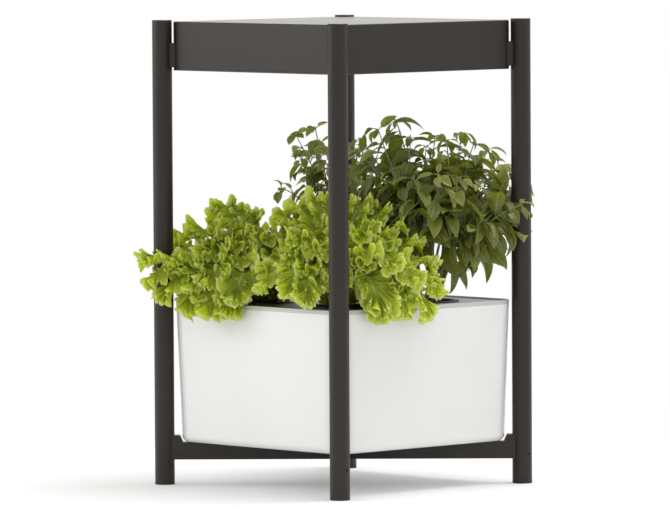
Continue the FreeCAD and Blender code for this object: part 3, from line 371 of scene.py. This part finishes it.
def frilledLeaves(name, look, table, finish, seed):
    rng = np.random.default_rng(seed)
    count = len(table)
    az, reach, tipZ, peak, knee, half, tone = table.T
    s = np.linspace(-1, 1, look["columns"])[None, :]
    t = (1 - (1 - np.linspace(0, 1, look["rows"])) ** look["rowPower"])[None, :, None]

    # q is even along the margin's length, with fewer steps near the base
    traced = np.linspace(0, 1, look["traced"])
    tall = (1 + np.cos(np.pi * traced)) / 2
    waist = look["waist"]
    wide = np.sin(np.pi * traced) ** look["blunt"] * (waist + (1 - waist) * tall ** look["taper"])
    least, power = look["sparse"]
    steps = np.hypot(np.diff(tall) * look["longer"], np.diff(wide)) * (least + tall[1:] ** power)
    q = np.interp(np.abs(s), np.concatenate([[0], np.cumsum(steps)]) / steps.sum(), traced)
    along = np.interp(q, traced, tall)
    across = np.sign(s) * np.interp(q, traced, wide)
    lobeCycles, lobeWander, lobeDepth = look["lobes"]
    lobes, _ = waves(rng, count, s, lobeCycles, lobeWander)
    u = (along * (1 - look["pull"] + look["pull"] * t)) * np.ones((count, 1, 1))
    side = (across * (1 + lobeDepth * lobes))[:, None, :] * t * each(half)

    # bow of the midrib in its upright plane: (0, root), (knee, peak), (reach, tipZ)
    root = look["root"]
    knee = each(reach * knee)
    r = 2 * u * (1 - u) * knee + u ** 2 * each(reach) + look["heart"]
    z = (1 - u) ** 2 * root + 2 * u * (1 - u) * each(peak) + u ** 2 * each(tipZ)
    dr = 2 * (1 - u) * knee + 2 * u * (each(reach) - knee)
    dz = 2 * (1 - u) * (each(peak) - root) + 2 * u * (each(tipZ) - each(peak))
    size = np.hypot(dr, dz) + tiny
    dr, dz = dr / size, dz / size

    # lift off the leaf, run along the margin, and out past it
    sets = [waves(rng, count, s, cycles, wander) for cycles, wander in zip(look["cycles"], look["wander"])]
    crest = [pair[0][:, None] for pair in sets]
    quarter = [pair[1][:, None] for pair in sets]
    base = np.minimum(1, look["grow"][0] * along + look["grow"][1])[:, None, :]
    amount = [each(half) * k * base for k in look["ripple"]]
    rise = sum(amount[k] * t ** look["liftPower"][k] * crest[k] for k in range(3))
    run = sum(amount[k] * t ** look["runPower"][k] * quarter[k] * look["runShare"][k] for k in range(3))
    grown = t ** look["outPower"]
    out = amount[1] * grown * (np.abs(crest[1]) - look["outLevel"]) * look["outShare"][0]
    out = out + amount[2] * grown * (quarter[2] + look["outBlend"] * quarter[1]) * look["outShare"][1]
    cupDepth, cupFade = look["cup"]
    cup = cupDepth * each(half) * (side / each(half)) ** 2 * (1 - cupFade * u)
    alongWaves, acrossWaves, shift = look["blisterWaves"]
    blister = look["blister"] * np.sin(u * alongWaves + each(tone) * shift)
    blister = blister * np.sin(side / each(half) * acrossWaves) * t * (1 - t ** look["blisterEnd"])
    lift = rise + cup + blister

    # the margin's own direction in the leaf plane, to run the ripples along it
    mu = -np.sin(np.pi * q) * np.sign(s) * np.ones((count, 1))
    mv = np.cos(np.pi * q) * np.ones((count, 1))
    size = np.hypot(mu, mv) + tiny
    mu, mv = (mu / size)[:, None], (mv / size)[:, None]
    slide = run * mu + out * np.cos(np.pi * q / 2)[:, None]
    side = side + run * mv + out * np.sin(np.pi * q / 2)[:, None] * np.sign(s)[:, None]
    r = r + slide * dr - lift * dz
    z = z + slide * dz + lift * dr

    bearing = each(np.radians(az) + rng.uniform(-look["turn"], look["turn"], count))
    side = side + each(rng.uniform(-look["lean"], look["lean"], count)) * u ** 2 * each(half)
    x = look["centre"][0] + r * np.cos(bearing) - side * np.sin(bearing)
    y = look["centre"][1] + r * np.sin(bearing) + side * np.cos(bearing)
    p = clearOfFrame(np.stack([x, y, z], axis=-1))
    margin = (s * 0.5 + 0.5)[:, None]
    chart = np.stack([np.broadcast_to(margin, u.shape), np.broadcast_to(t, u.shape)], axis=-1)
    tones = np.broadcast_to(each(tone), u.shape)
    faces = gridFaces(count, look["rows"], look["columns"])
    return surface(name, p.reshape(-1, 3), faces, finish, chart.reshape(-1, 2), tones.ravel())


# in both looks the inner colours are darkened as painted shade, and the margin colour is a painted highlight
lettuceLook = {
    "blotch": 38.0, "grain": 420.0, "relief": 0.0022, "veins": 13.0, "slant": 1.5, "veinWidth": 0.35,
    "ribWidth": 0.12, "edge": (0.35, 0.95), "inner": (0.19, 0.24, 0.006), "outer": (0.48, 0.59, 0.014),
    "inner2": (0.36, 0.44, 0.025), "outer2": (0.66, 0.77, 0.05), "rib": (0.62, 0.7, 0.3), "lip": 0.9,
    "margin": (0.93, 0.95, 0.4), "veinShow": 0.3, "ribShow": 0.6, "roughness": 0.42, "shine": 0.35,
    "through": (0.56, 0.66, 0.012), "thin": 0.38, "crinkle": 110.0,
}
basilLook = {
    "blotch": 60.0, "grain": 600.0, "relief": 0.0006, "veins": 7.0, "slant": 0.0, "veinWidth": 0.3,
    "ribWidth": 0.1, "edge": (0.2, 0.9), "inner": (0.09, 0.105, 0.01), "outer": (0.125, 0.14, 0.018),
    "inner2": (0.28, 0.31, 0.055), "outer2": (0.38, 0.42, 0.11), "rib": (0.42, 0.46, 0.2), "lip": 0.2,
    "margin": (0.34, 0.37, 0.12), "veinShow": 0.25, "ribShow": 0.55, "roughness": 0.34, "shine": 0.6,
    "through": (0.3, 0.34, 0.02), "thin": 0.3, "crinkle": 150.0,
}
lettuceFinish = leafFinish("lettuce_leaf", lettuceLook)
basilFinish = leafFinish("basil_leaf", basilLook)

# the mound: tips below hangFrom bow over the heart and hang, and the rest stand on a dome;
# hangFrom, hangOver and bowTop are in metres, bowJitter, peak and peakLeast in mm
mound = {"hangFrom": 0.335, "hangOver": 0.08, "bowTop": 0.345, "bowJitter": (-8, 12), "knee": (0.25, 0.3),
         "turn": 137.5, "turnJitter": 12, "domeEdge": 1.02, "reachJitter": (0.86, 1.0), "peak": (4, 30),
         "peakLeast": 4, "domeKnee": 0.4, "narrowing": (1.15, 0.35)}


def leafTable(head, rng):
    # azimuth, reach, tip height, height of the bow's middle, where that middle is, half width, tone
    cx, cy = head["centre"]
    table = []
    for px, py, depth, half, tone in head["tips"]:
        x, y, z = fromView(px, py, depth)
        reach = math.hypot(x - cx, y - cy)
        hang = min(1.0, max(0.0, (mound["hangFrom"] - z) / mound["hangOver"]))
        bow = z * (1 - hang) + hang * mound["bowTop"] + rng.uniform(*mound["bowJitter"]) * mm
        knee = mound["knee"][0] + mound["knee"][1] * hang
        table.append([math.degrees(math.atan2(y - cy, x - cx)), reach, z, bow, knee, half * mm, tone])
    # the rest of the mound: tips on a dome, z from low to high, reach = wide (1.02 - h^2)^0.5
    number, low, high, wide, half = head["dome"]
    for k in range(number):
        h = (k + rng.uniform(0, 1)) / number
        az = mound["turn"] * k + rng.uniform(-mound["turnJitter"], mound["turnJitter"])
        reach = wide * (mound["domeEdge"] - h ** 2) ** 0.5 * rng.uniform(*mound["reachJitter"]) * mm
        z = (low + (high - low) * h) * mm
        peak = z + rng.uniform(*mound["peak"]) * (1 - h) * mm + mound["peakLeast"] * mm
        broad = half * mm * (mound["narrowing"][0] - mound["narrowing"][1] * h)
        table.append([az, reach, z, peak, mound["domeKnee"], broad, rng.uniform(0, 1)])
    return np.array(table)


lettuces = {
    "front_left": {
        "centre": (-75 * mm, -75 * mm), "seed": 11,
        "tips": [(143, 262, -30, 30, 0.8), (150, 288, -45, 30, 0.7), (163, 303, -55, 30, 0.5),
                 (186, 315, -75, 33, 0.6), (206, 318, -92, 33, 0.7), (226, 318, -104, 32, 0.5),
                 (247, 303, -122, 30, 0.5), (164, 250, 38, 28, 0.6), (180, 238, 52, 28, 0.4),
                 (197, 229, 60, 30, 0.7), (214, 213, 64, 31, 0.8), (231, 206, 68, 33, 0.9),
                 (243, 212, 72, 28, 0.6), (263, 236, 60, 27, 0.4), (176, 266, -60, 32, 0.9),
                 (200, 258, -66, 32, 0.3), (226, 262, -84, 32, 0.5), (243, 246, -50, 28, 0.3),
                 (214, 286, -98, 32, 0.7), (188, 292, -72, 32, 0.8), (159, 270, 26, 28, 0.6),
                 (238, 228, 44, 28, 0.7)],
        "dome": (34, 266, 340, 100, 27)},
    "front_right": {
        "centre": (75 * mm, -75 * mm), "seed": 23,
        "tips": [(266, 292, -152, 33, 1.0), (290, 299, -190, 35, 1.0), (306, 302, -208, 28, 0.9),
                 (372, 314, -212, 28, 0.7), (386, 321, -200, 32, 0.9), (407, 318, -178, 30, 0.8),
                 (427, 318, -156, 30, 0.9), (436, 296, -130, 29, 0.8), (434, 266, -90, 27, 0.7),
                 (419, 244, -72, 26, 0.5), (399, 226, -58, 26, 0.6), (381, 211, -46, 27, 0.4),
                 (361, 202, -42, 27, 0.6), (322, 199, -36, 27, 0.8), (302, 206, -38, 27, 0.9),
                 (284, 216, -44, 27, 0.4), (292, 240, -160, 29, 0.3), (312, 250, -178, 29, 0.6),
                 (370, 254, -188, 29, 0.8), (394, 266, -188, 30, 0.7), (412, 284, -174, 29, 0.9),
                 (342, 200, -40, 27, 0.5)],
        "dome": (34, 262, 352, 104, 26)},
}
for place, head in lettuces.items():
    rng = np.random.default_rng(head["seed"])
    table = leafTable(head, rng)
    look = dict(frill, centre=head["centre"])
    piece = frilledLeaves("lettuce_leaves_" + place, look, table, lettuceFinish, head["seed"] + 1)
    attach(piece, "basket_" + place)
    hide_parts("lettuce_" + place)
    print("lettuce", place, len(table), "leaves", len(piece.data.polygons) * 2, "triangles")


# basil blade: u from stalk to point, w from -1 to 1 across; half width = W sin(pi u^0.78)^0.85 (1 - 0.12 u),
# folded by |w| and arched down along its length, with a small wave that grows as w^2
blade = {"rows": 9, "columns": 7, "early": 0.78, "blunt": 0.85, "narrow": 0.12, "fold": 0.34,
         "wave": (0.05, 9, 20), "straight": 1e-3}


def blades(base, ahead, upward, length, half, arch, tone):
    u = np.linspace(0, 1, blade["rows"])[None, :, None]
    w = np.linspace(-1, 1, blade["columns"])[None, None, :]
    across = unit(np.cross(upward, ahead))
    upward = np.cross(ahead, across)
    angle = each(arch) * u
    safe = np.where(np.abs(each(arch)) < blade["straight"], blade["straight"], each(arch))
    forward = each(length) * np.sin(angle) / safe
    fall = -each(length) * (1 - np.cos(angle)) / safe
    width = each(half) * np.sin(np.pi * u ** blade["early"]) ** blade["blunt"] * (1 - blade["narrow"] * u)
    side = w * width
    depth, turns, shift = blade["wave"]
    wave = depth * each(half) * np.sin(u * turns + each(tone) * shift) * w ** 2
    fold = np.abs(w) * width * blade["fold"] + wave
    run = forward * np.ones_like(w) + fold * np.sin(angle)
    p = each(base) + run[..., None] * each(ahead) + side[..., None] * each(across)
    p = p + (fall + fold)[..., None] * each(upward)
    chart = np.stack([np.broadcast_to(u, run.shape), np.broadcast_to(np.abs(w), run.shape)], axis=-1)
    tones = np.broadcast_to(each(tone), run.shape).ravel()
    faces = gridFaces(len(base), blade["rows"], blade["columns"])
    return p.reshape(-1, 3), faces, chart.reshape(-1, 2), tones


# stem: point = path + radius (first cos turn + second sin turn), where first is square to the path and to a
# fixed guide, and second is square to both
guide = {"stem": (0.31, 0.87, 0.38), "leaf": (0.3, 0.9, 0.31)}


def tubes(paths, radii, sides):
    count, rings, _ = paths.shape
    ahead = unit(np.gradient(paths, axis=1))
    first = unit(np.cross(ahead, guide["stem"]))
    second = np.cross(ahead, first)
    turn = np.linspace(0, 2 * np.pi, sides + 1)
    ring = first[:, :, None] * np.cos(turn)[:, None] + second[:, :, None] * np.sin(turn)[:, None]
    p = paths[:, :, None] + radii[:, :, None, None] * ring
    return p.reshape(-1, 3), gridFaces(count, rings, sides + 1)


# growth: footSpread, stalk and stalkBow are in mm, loneTrunk in metres, angles in radians
growth = {
    "rings": 17, "footSpread": (7, 7, 0.5), "trunkReach": (0.22, 0.22, 0.6), "loneTrunk": (0, 0, 0.15),
    "leave": 0.12, "sway": (1.8 * mm, 15, 6), "taper": 0.62, "thickness": (0.85, 1.15), "stemSides": 6,
    "young": (0.5, 0.25), "tipLeaves": 4, "tipTurn": 1.6, "turnJitter": 0.25, "upward": 0.4, "outward": 0.3,
    "stalk": (8, 15), "stalkSag": 0.15, "stalkBow": (0, 0, 1.5), "stalkRadius": 0.75 * mm, "stalkSides": 4,
    "droop": (-0.1, 1.1), "twist": 0.4, "arch": (0.4, 1.4), "tonePower": 1.3, "placedUp": (0.3, -0.35, 1.0),
}


def basilBush(name, bush, leafMade, stemMade):
    rng = np.random.default_rng(bush["seed"])
    foot = np.array([*bush["centre"], bush["foot"]]) * mm
    tips = np.array([fromView(*tip) for tip in bush["tips"]])
    count = len(tips)
    u = np.linspace(0, 1, growth["rings"])[None, :, None]

    # tips gather on a few trunks by their bearing; each path is (1-u)^2 start + 2u(1-u) knee + u^2 tip plus a
    # sway, and its knee lies near its trunk's knee
    bearing = np.arctan2(tips[:, 1] - foot[1], tips[:, 0] - foot[0])
    trunk = np.floor((bearing + np.pi) / (2 * np.pi + 1e-6) * bush["trunks"]).astype(int)
    starts = foot + rng.normal(0, 1, (bush["trunks"], 3)) * np.array(growth["footSpread"]) * mm
    knees = np.zeros((bush["trunks"], 3))
    for k in range(bush["trunks"]):
        mean = tips[trunk == k].mean(0) if (trunk == k).any() else foot + growth["loneTrunk"]
        knees[k] = starts[k] + (mean - starts[k]) * np.array(growth["trunkReach"])
    start = starts[trunk]
    knee = knees[trunk] + (tips - knees[trunk]) * growth["leave"]
    paths = (1 - u) ** 2 * start[:, None] + 2 * u * (1 - u) * knee[:, None] + u ** 2 * tips[:, None]
    sway, turns, phase = growth["sway"]
    paths += sway * np.sin(u * turns + rng.uniform(0, phase, (count, 1, 3))) * u
    thin = 1 - growth["taper"] * u[..., 0]
    radii = bush["thick"] * mm * thin * rng.uniform(*growth["thickness"], (count, 1))
    stemPoints, stemFaces = tubes(paths, radii, growth["stemSides"])

    # leaves at the joints of each stem: four at its tip, then pairs, each a quarter round from the last
    rows, stalks = [], []
    for line in paths:
        run = np.concatenate([[0], np.cumsum(np.linalg.norm(np.diff(line, axis=0), axis=1))])
        joints = np.arange(run[-1], run[-1] * bush["bare"], -bush["step"] * mm)
        turn = rng.uniform(0, np.pi)
        for j, at in enumerate(joints):
            joint = np.array([np.interp(at, run, line[:, i]) for i in range(3)])
            along = unit(np.array([np.interp(at, run, np.gradient(line[:, i])) for i in range(3)]))
            first = unit(np.cross(along, guide["leaf"]))
            second = np.cross(along, first)
            outward = unit(np.array([*(joint[:2] - foot[:2]), 0.0]))
            grown = min(1.0, growth["young"][0] + growth["young"][1] * j)
            number, spacing = (2, np.pi) if j else (growth["tipLeaves"], growth["tipTurn"])
            for k in range(number):
                angle = turn + j * np.pi / 2 + k * spacing + rng.normal(0, growth["turnJitter"])
                away = first * math.cos(angle) + second * math.sin(angle)
                away = unit(away + along * growth["upward"] + outward * growth["outward"])
                stalk = rng.uniform(*growth["stalk"]) * mm * grown
                end = joint + away * stalk + down * stalk * growth["stalkSag"]
                heading = unit(away + down * rng.uniform(*growth["droop"]))
                side = unit(np.cross(heading, upright))
                above = unit(np.cross(side, heading) + side * rng.normal(0, growth["twist"]))
                size = rng.uniform(*bush["leaf"]) * mm * grown
                half = size * rng.uniform(*bush["broad"])
                arch = rng.uniform(*growth["arch"])
                tone = rng.uniform(0, 1) ** growth["tonePower"]
                rows.append((end, heading, above, size, half, arch, tone))
                stalks.append([joint, (joint + end) / 2 + np.array(growth["stalkBow"]) * mm, end])
    for px, py, depth, aim, size, broad, bend, tone in bush["placed"]:
        heading = unit(np.array(aim, dtype=float))
        above = np.array(growth["placedUp"])
        rows.append((fromView(px, py, depth), heading, above, size * mm, size * mm * broad, bend, tone))

    base, heading, above, length, half, arch, tone = (np.array(column) for column in zip(*rows))
    points, faces, chart, tones = blades(base, heading, unit(above), length, half, arch, tone)
    leafPiece = surface(name + "_leaves", clearOfFrame(points), faces, leafMade, chart, tones)
    stalks = np.array(stalks)
    stalkRadii = np.full(stalks.shape[:2], growth["stalkRadius"])
    stalkPoints, stalkFaces = tubes(stalks, stalkRadii, growth["stalkSides"])
    allPoints = np.concatenate([stemPoints, stalkPoints])
    allFaces = np.concatenate([stemFaces, stalkFaces + len(stemPoints)])
    stems = surface(name + "_stems", allPoints, allFaces, stemMade)
    print(name, len(rows), "leaves")
    return leafPiece, stems


stemLook = {"colour": (0.2, 0.24, 0.08), "colour2": (0.3, 0.35, 0.15), "roughness": 0.5, "driftScale": 40.0,
            "grainScale": 300.0, "bump": 0.3, "depth": 0.0003}
stemFinish = mouldedFinish("basil_stem", stemLook)

bushes = {
    "rear_right": {
        "centre": (80, 82), "foot": 238, "seed": 5, "thick": 1.7, "trunks": 5, "step": 18, "bare": 0.5,
        "leaf": (32, 56), "broad": (0.2, 0.31),
        "tips": [(362, 138, 70), (378, 130, 40), (396, 122, 60), (410, 138, 20), (424, 148, 90),
                 (434, 136, 60), (448, 140, 30), (462, 134, 70), (474, 146, 20), (488, 152, 80),
                 (500, 166, 60), (512, 176, 30), (522, 190, 20), (372, 165, 0), (392, 172, -20),
                 (414, 178, -40), (438, 176, -50), (460, 180, -40), (482, 190, -30), (503, 202, -20),
                 (508, 222, 50), (490, 232, 30), (466, 205, 120), (430, 190, 140), (398, 190, 120),
                 (446, 160, 120), (520, 205, -30), (470, 235, -40), (405, 205, -60), (380, 195, 90),
                 (364, 156, 30), (370, 185, 40), (388, 150, 100), (402, 160, 30), (428, 162, 10),
                 (452, 176, 10), (476, 170, 40), (494, 182, 60), (514, 196, 60), (506, 232, -20),
                 (484, 222, -40), (440, 205, 20)],
        "placed": [(466, 252, 40, (0.72, 0.62, -0.1), 60, 0.34, 0.7, 0.9),
                   (393, 123, 50, (0.66, 0.66, 0.3), 46, 0.17, 1.2, 0.2),
                   (452, 262, 20, (0.3, 0.5, -0.7), 44, 0.3, 0.5, 0.3),
                   (500, 205, 30, (0.2, 0.2, -1.0), 46, 0.25, 0.4, 0.5),
                   (516, 170, 10, (0.5, 0.5, -0.9), 48, 0.2, 0.6, 0.4),
                   (424, 185, 0, (0.1, 0.1, -1.0), 42, 0.26, 0.3, 0.5)],
    },
    "rear_left": {
        "centre": (-75, 75), "foot": 238, "seed": 9, "thick": 1.7, "trunks": 3, "step": 20, "bare": 0.5,
        "leaf": (24, 34), "broad": (0.3, 0.38),
        "tips": [(298, 136, 100), (314, 130, 120), (302, 160, 80), (320, 152, 130), (334, 140, 90),
                 (348, 146, 140), (312, 178, 90), (328, 168, 150), (342, 175, 60), (356, 150, 110),
                 (340, 160, 180), (362, 172, 150), (282, 188, 80), (320, 184, 100)],
        "placed": [(304, 138, 100, (-0.69, -0.72, 0.5), 20, 0.42, 0.5, 0.4),
                   (326, 147, 120, (-0.69, -0.72, 0.35), 31, 0.3, 0.7, 0.5),
                   (312, 157, 90, (-0.69, -0.72, 0.3), 29, 0.36, 0.7, 0.6),
                   (321, 174, 110, (-0.69, -0.72, 0.35), 34, 0.32, 0.8, 0.4),
                   (316, 172, 95, (-0.4, -0.4, -1.0), 26, 0.4, 0.3, 0.7),
                   (326, 160, 100, (-0.3, -0.5, -0.6), 34, 0.36, 0.4, 0.5)],
    },
}
for place, bush in bushes.items():
    leafPiece, stems = basilBush("basil_" + place, bush, basilFinish, stemFinish)
    for piece in (leafPiece, stems):
        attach(piece, "basket_" + place)
    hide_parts("basil_" + place)


# growing sponge: a pad whose top dips and crumbles; r from 0 to 1, height = two sets of ripples that fade
# at the rim, less a dip in the middle
spongeLook = {"rings": 18, "sides": 49, "wallRings": 8, "crumb": 1.2 * mm, "dip": 2 * mm, "rimPower": 6,
              "coarse": (23, 19, 2), "fine": (41, 3, 5), "taper": 0.16, "underside": 2 * mm, "hub": 1e-6}


def spongePad(name, low, high, finish):
    turn = np.linspace(0, 2 * np.pi, spongeLook["sides"])[None, :]
    step = np.linspace(0, 1, spongeLook["rings"])[:, None]
    centre = (low + high) / 2
    radius = (high[0] - low[0]) / 2
    acrossX, acrossY, shift = spongeLook["coarse"]
    coarse = np.sin(acrossX * step * np.cos(turn) + shift) * np.sin(acrossY * step * np.sin(turn))
    outward, swing, lobes = spongeLook["fine"]
    fine = np.sin(outward * step + swing * np.cos(lobes * turn))
    crumb = (0.5 * coarse + 0.5 * fine) * spongeLook["crumb"] * (1 - step ** spongeLook["rimPower"])
    top = high[2] - spongeLook["crumb"] + crumb - spongeLook["dip"] * (1 - step) ** 2
    tall = high[2] - low[2] - spongeLook["underside"]
    wall = np.linspace(0, 1, spongeLook["wallRings"])[1:, None]
    r = np.concatenate([step * radius, radius * (1 - spongeLook["taper"] * wall), [[spongeLook["hub"]]]])
    z = np.concatenate([top, top[-1:] - wall * tall, np.full((1, spongeLook["sides"]), low[2])])
    p = np.stack([centre[0] + r * np.cos(turn), centre[1] + r * np.sin(turn), z], axis=-1)
    faces = gridFaces(1, p.shape[0], spongeLook["sides"])[:, ::-1]
    return surface(name, p.reshape(-1, 3), faces, finish)


for place in ("front_left", "front_right", "rear_right", "rear_left"):
    low, high = (np.array(v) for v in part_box("medium_" + place))
    pad = spongePad("sponge_" + place, low, high, made["sponge"])
    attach(pad, "basket_" + place)
    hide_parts("medium_" + place)
    print("sponge", place, len(pad.data.polygons), "faces")


# studio: white world, soft lamps, and a pale floor. For camera rays alone the world is plain white, and the
# floor mixes with white, by nearWhite near the object and wholly beyond the fade
studio = {"world": 0.84, "floor": (0.93, 0.93, 0.925), "floor2": (0.94, 0.94, 0.935), "floorHalf": 14.0,
          "grainScale": 3.0, "grainSpan": (0.3, 0.7), "roughness": 0.8, "shine": 0.1,
          "fade": (0.42, 0.8), "nearWhite": 0.2}
plainWhite = (1, 1, 1, 1)
world = bpy.data.worlds.new("studio")
world.use_nodes = True
world.node_tree.nodes.clear()
sky = Wire(world.node_tree)
seen = sky.node("LightPath", None, None, 0)
lighting = sky.node("Background", None, {"Color": plainWhite, "Strength": studio["world"]})
backdrop = sky.node("Background", None, {"Color": plainWhite, "Strength": 1.0})
sky.node("OutputWorld", None, {"Surface": sky.node("MixShader", None, {0: seen, 1: lighting, 2: backdrop})})
bpy.context.scene.world = world

floorFinish, root, place = newFinish("floor")
speckle = place.noise(studio["grainScale"], 2.0).rise(*studio["grainSpan"])
paper = speckle.mix(studio["floor"], studio["floor2"])
litValues = {"Base Color": paper, "Roughness": studio["roughness"], "Specular IOR Level": studio["shine"]}
lit = root.node("BsdfPrincipled", None, litValues)
glow = root.node("Emission", None, {"Color": plainWhite, "Strength": 1.0})
far = place.node("VectorMath", {"operation": "LENGTH"}, {0: place}, 1).rise(*studio["fade"])
white = far * (1 - studio["nearWhite"]) + studio["nearWhite"]
whiteSeen = root.node("LightPath", None, None, 0) * white
close(root, root.node("MixShader", None, {0: whiteSeen, 1: lit, 2: glow}))
h = studio["floorHalf"]
corners = np.array([[-h, -h, 0], [h, -h, 0], [h, h, 0], [-h, h, 0]])
floor = surface("floor", corners, np.array([[0, 1, 2, 3]]), floorFinish)

lamps = {
    "key": {"place": (-2.6, -2.5, 1.5), "aim": (0, 0, 0.3), "size": 1.6, "watts": 34},
    "top": {"place": (0.6, 0.8, 3.2), "aim": (0, 0, 0.2), "size": 1.6, "watts": 50},
}
for name, look in lamps.items():
    lamp = bpy.data.lights.new(name, "AREA")
    lamp.shape = "DISK"
    lamp.size = look["size"]
    lamp.energy = look["watts"]
    holder = bpy.data.objects.new(name, lamp)
    holder.location = look["place"]
    holder.rotation_euler = (Vector(look["aim"]) - Vector(look["place"])).to_track_quat("-Z", "Y").to_euler()
    bpy.context.scene.collection.objects.link(holder)
print("studio with", len(lamps), "lamps")
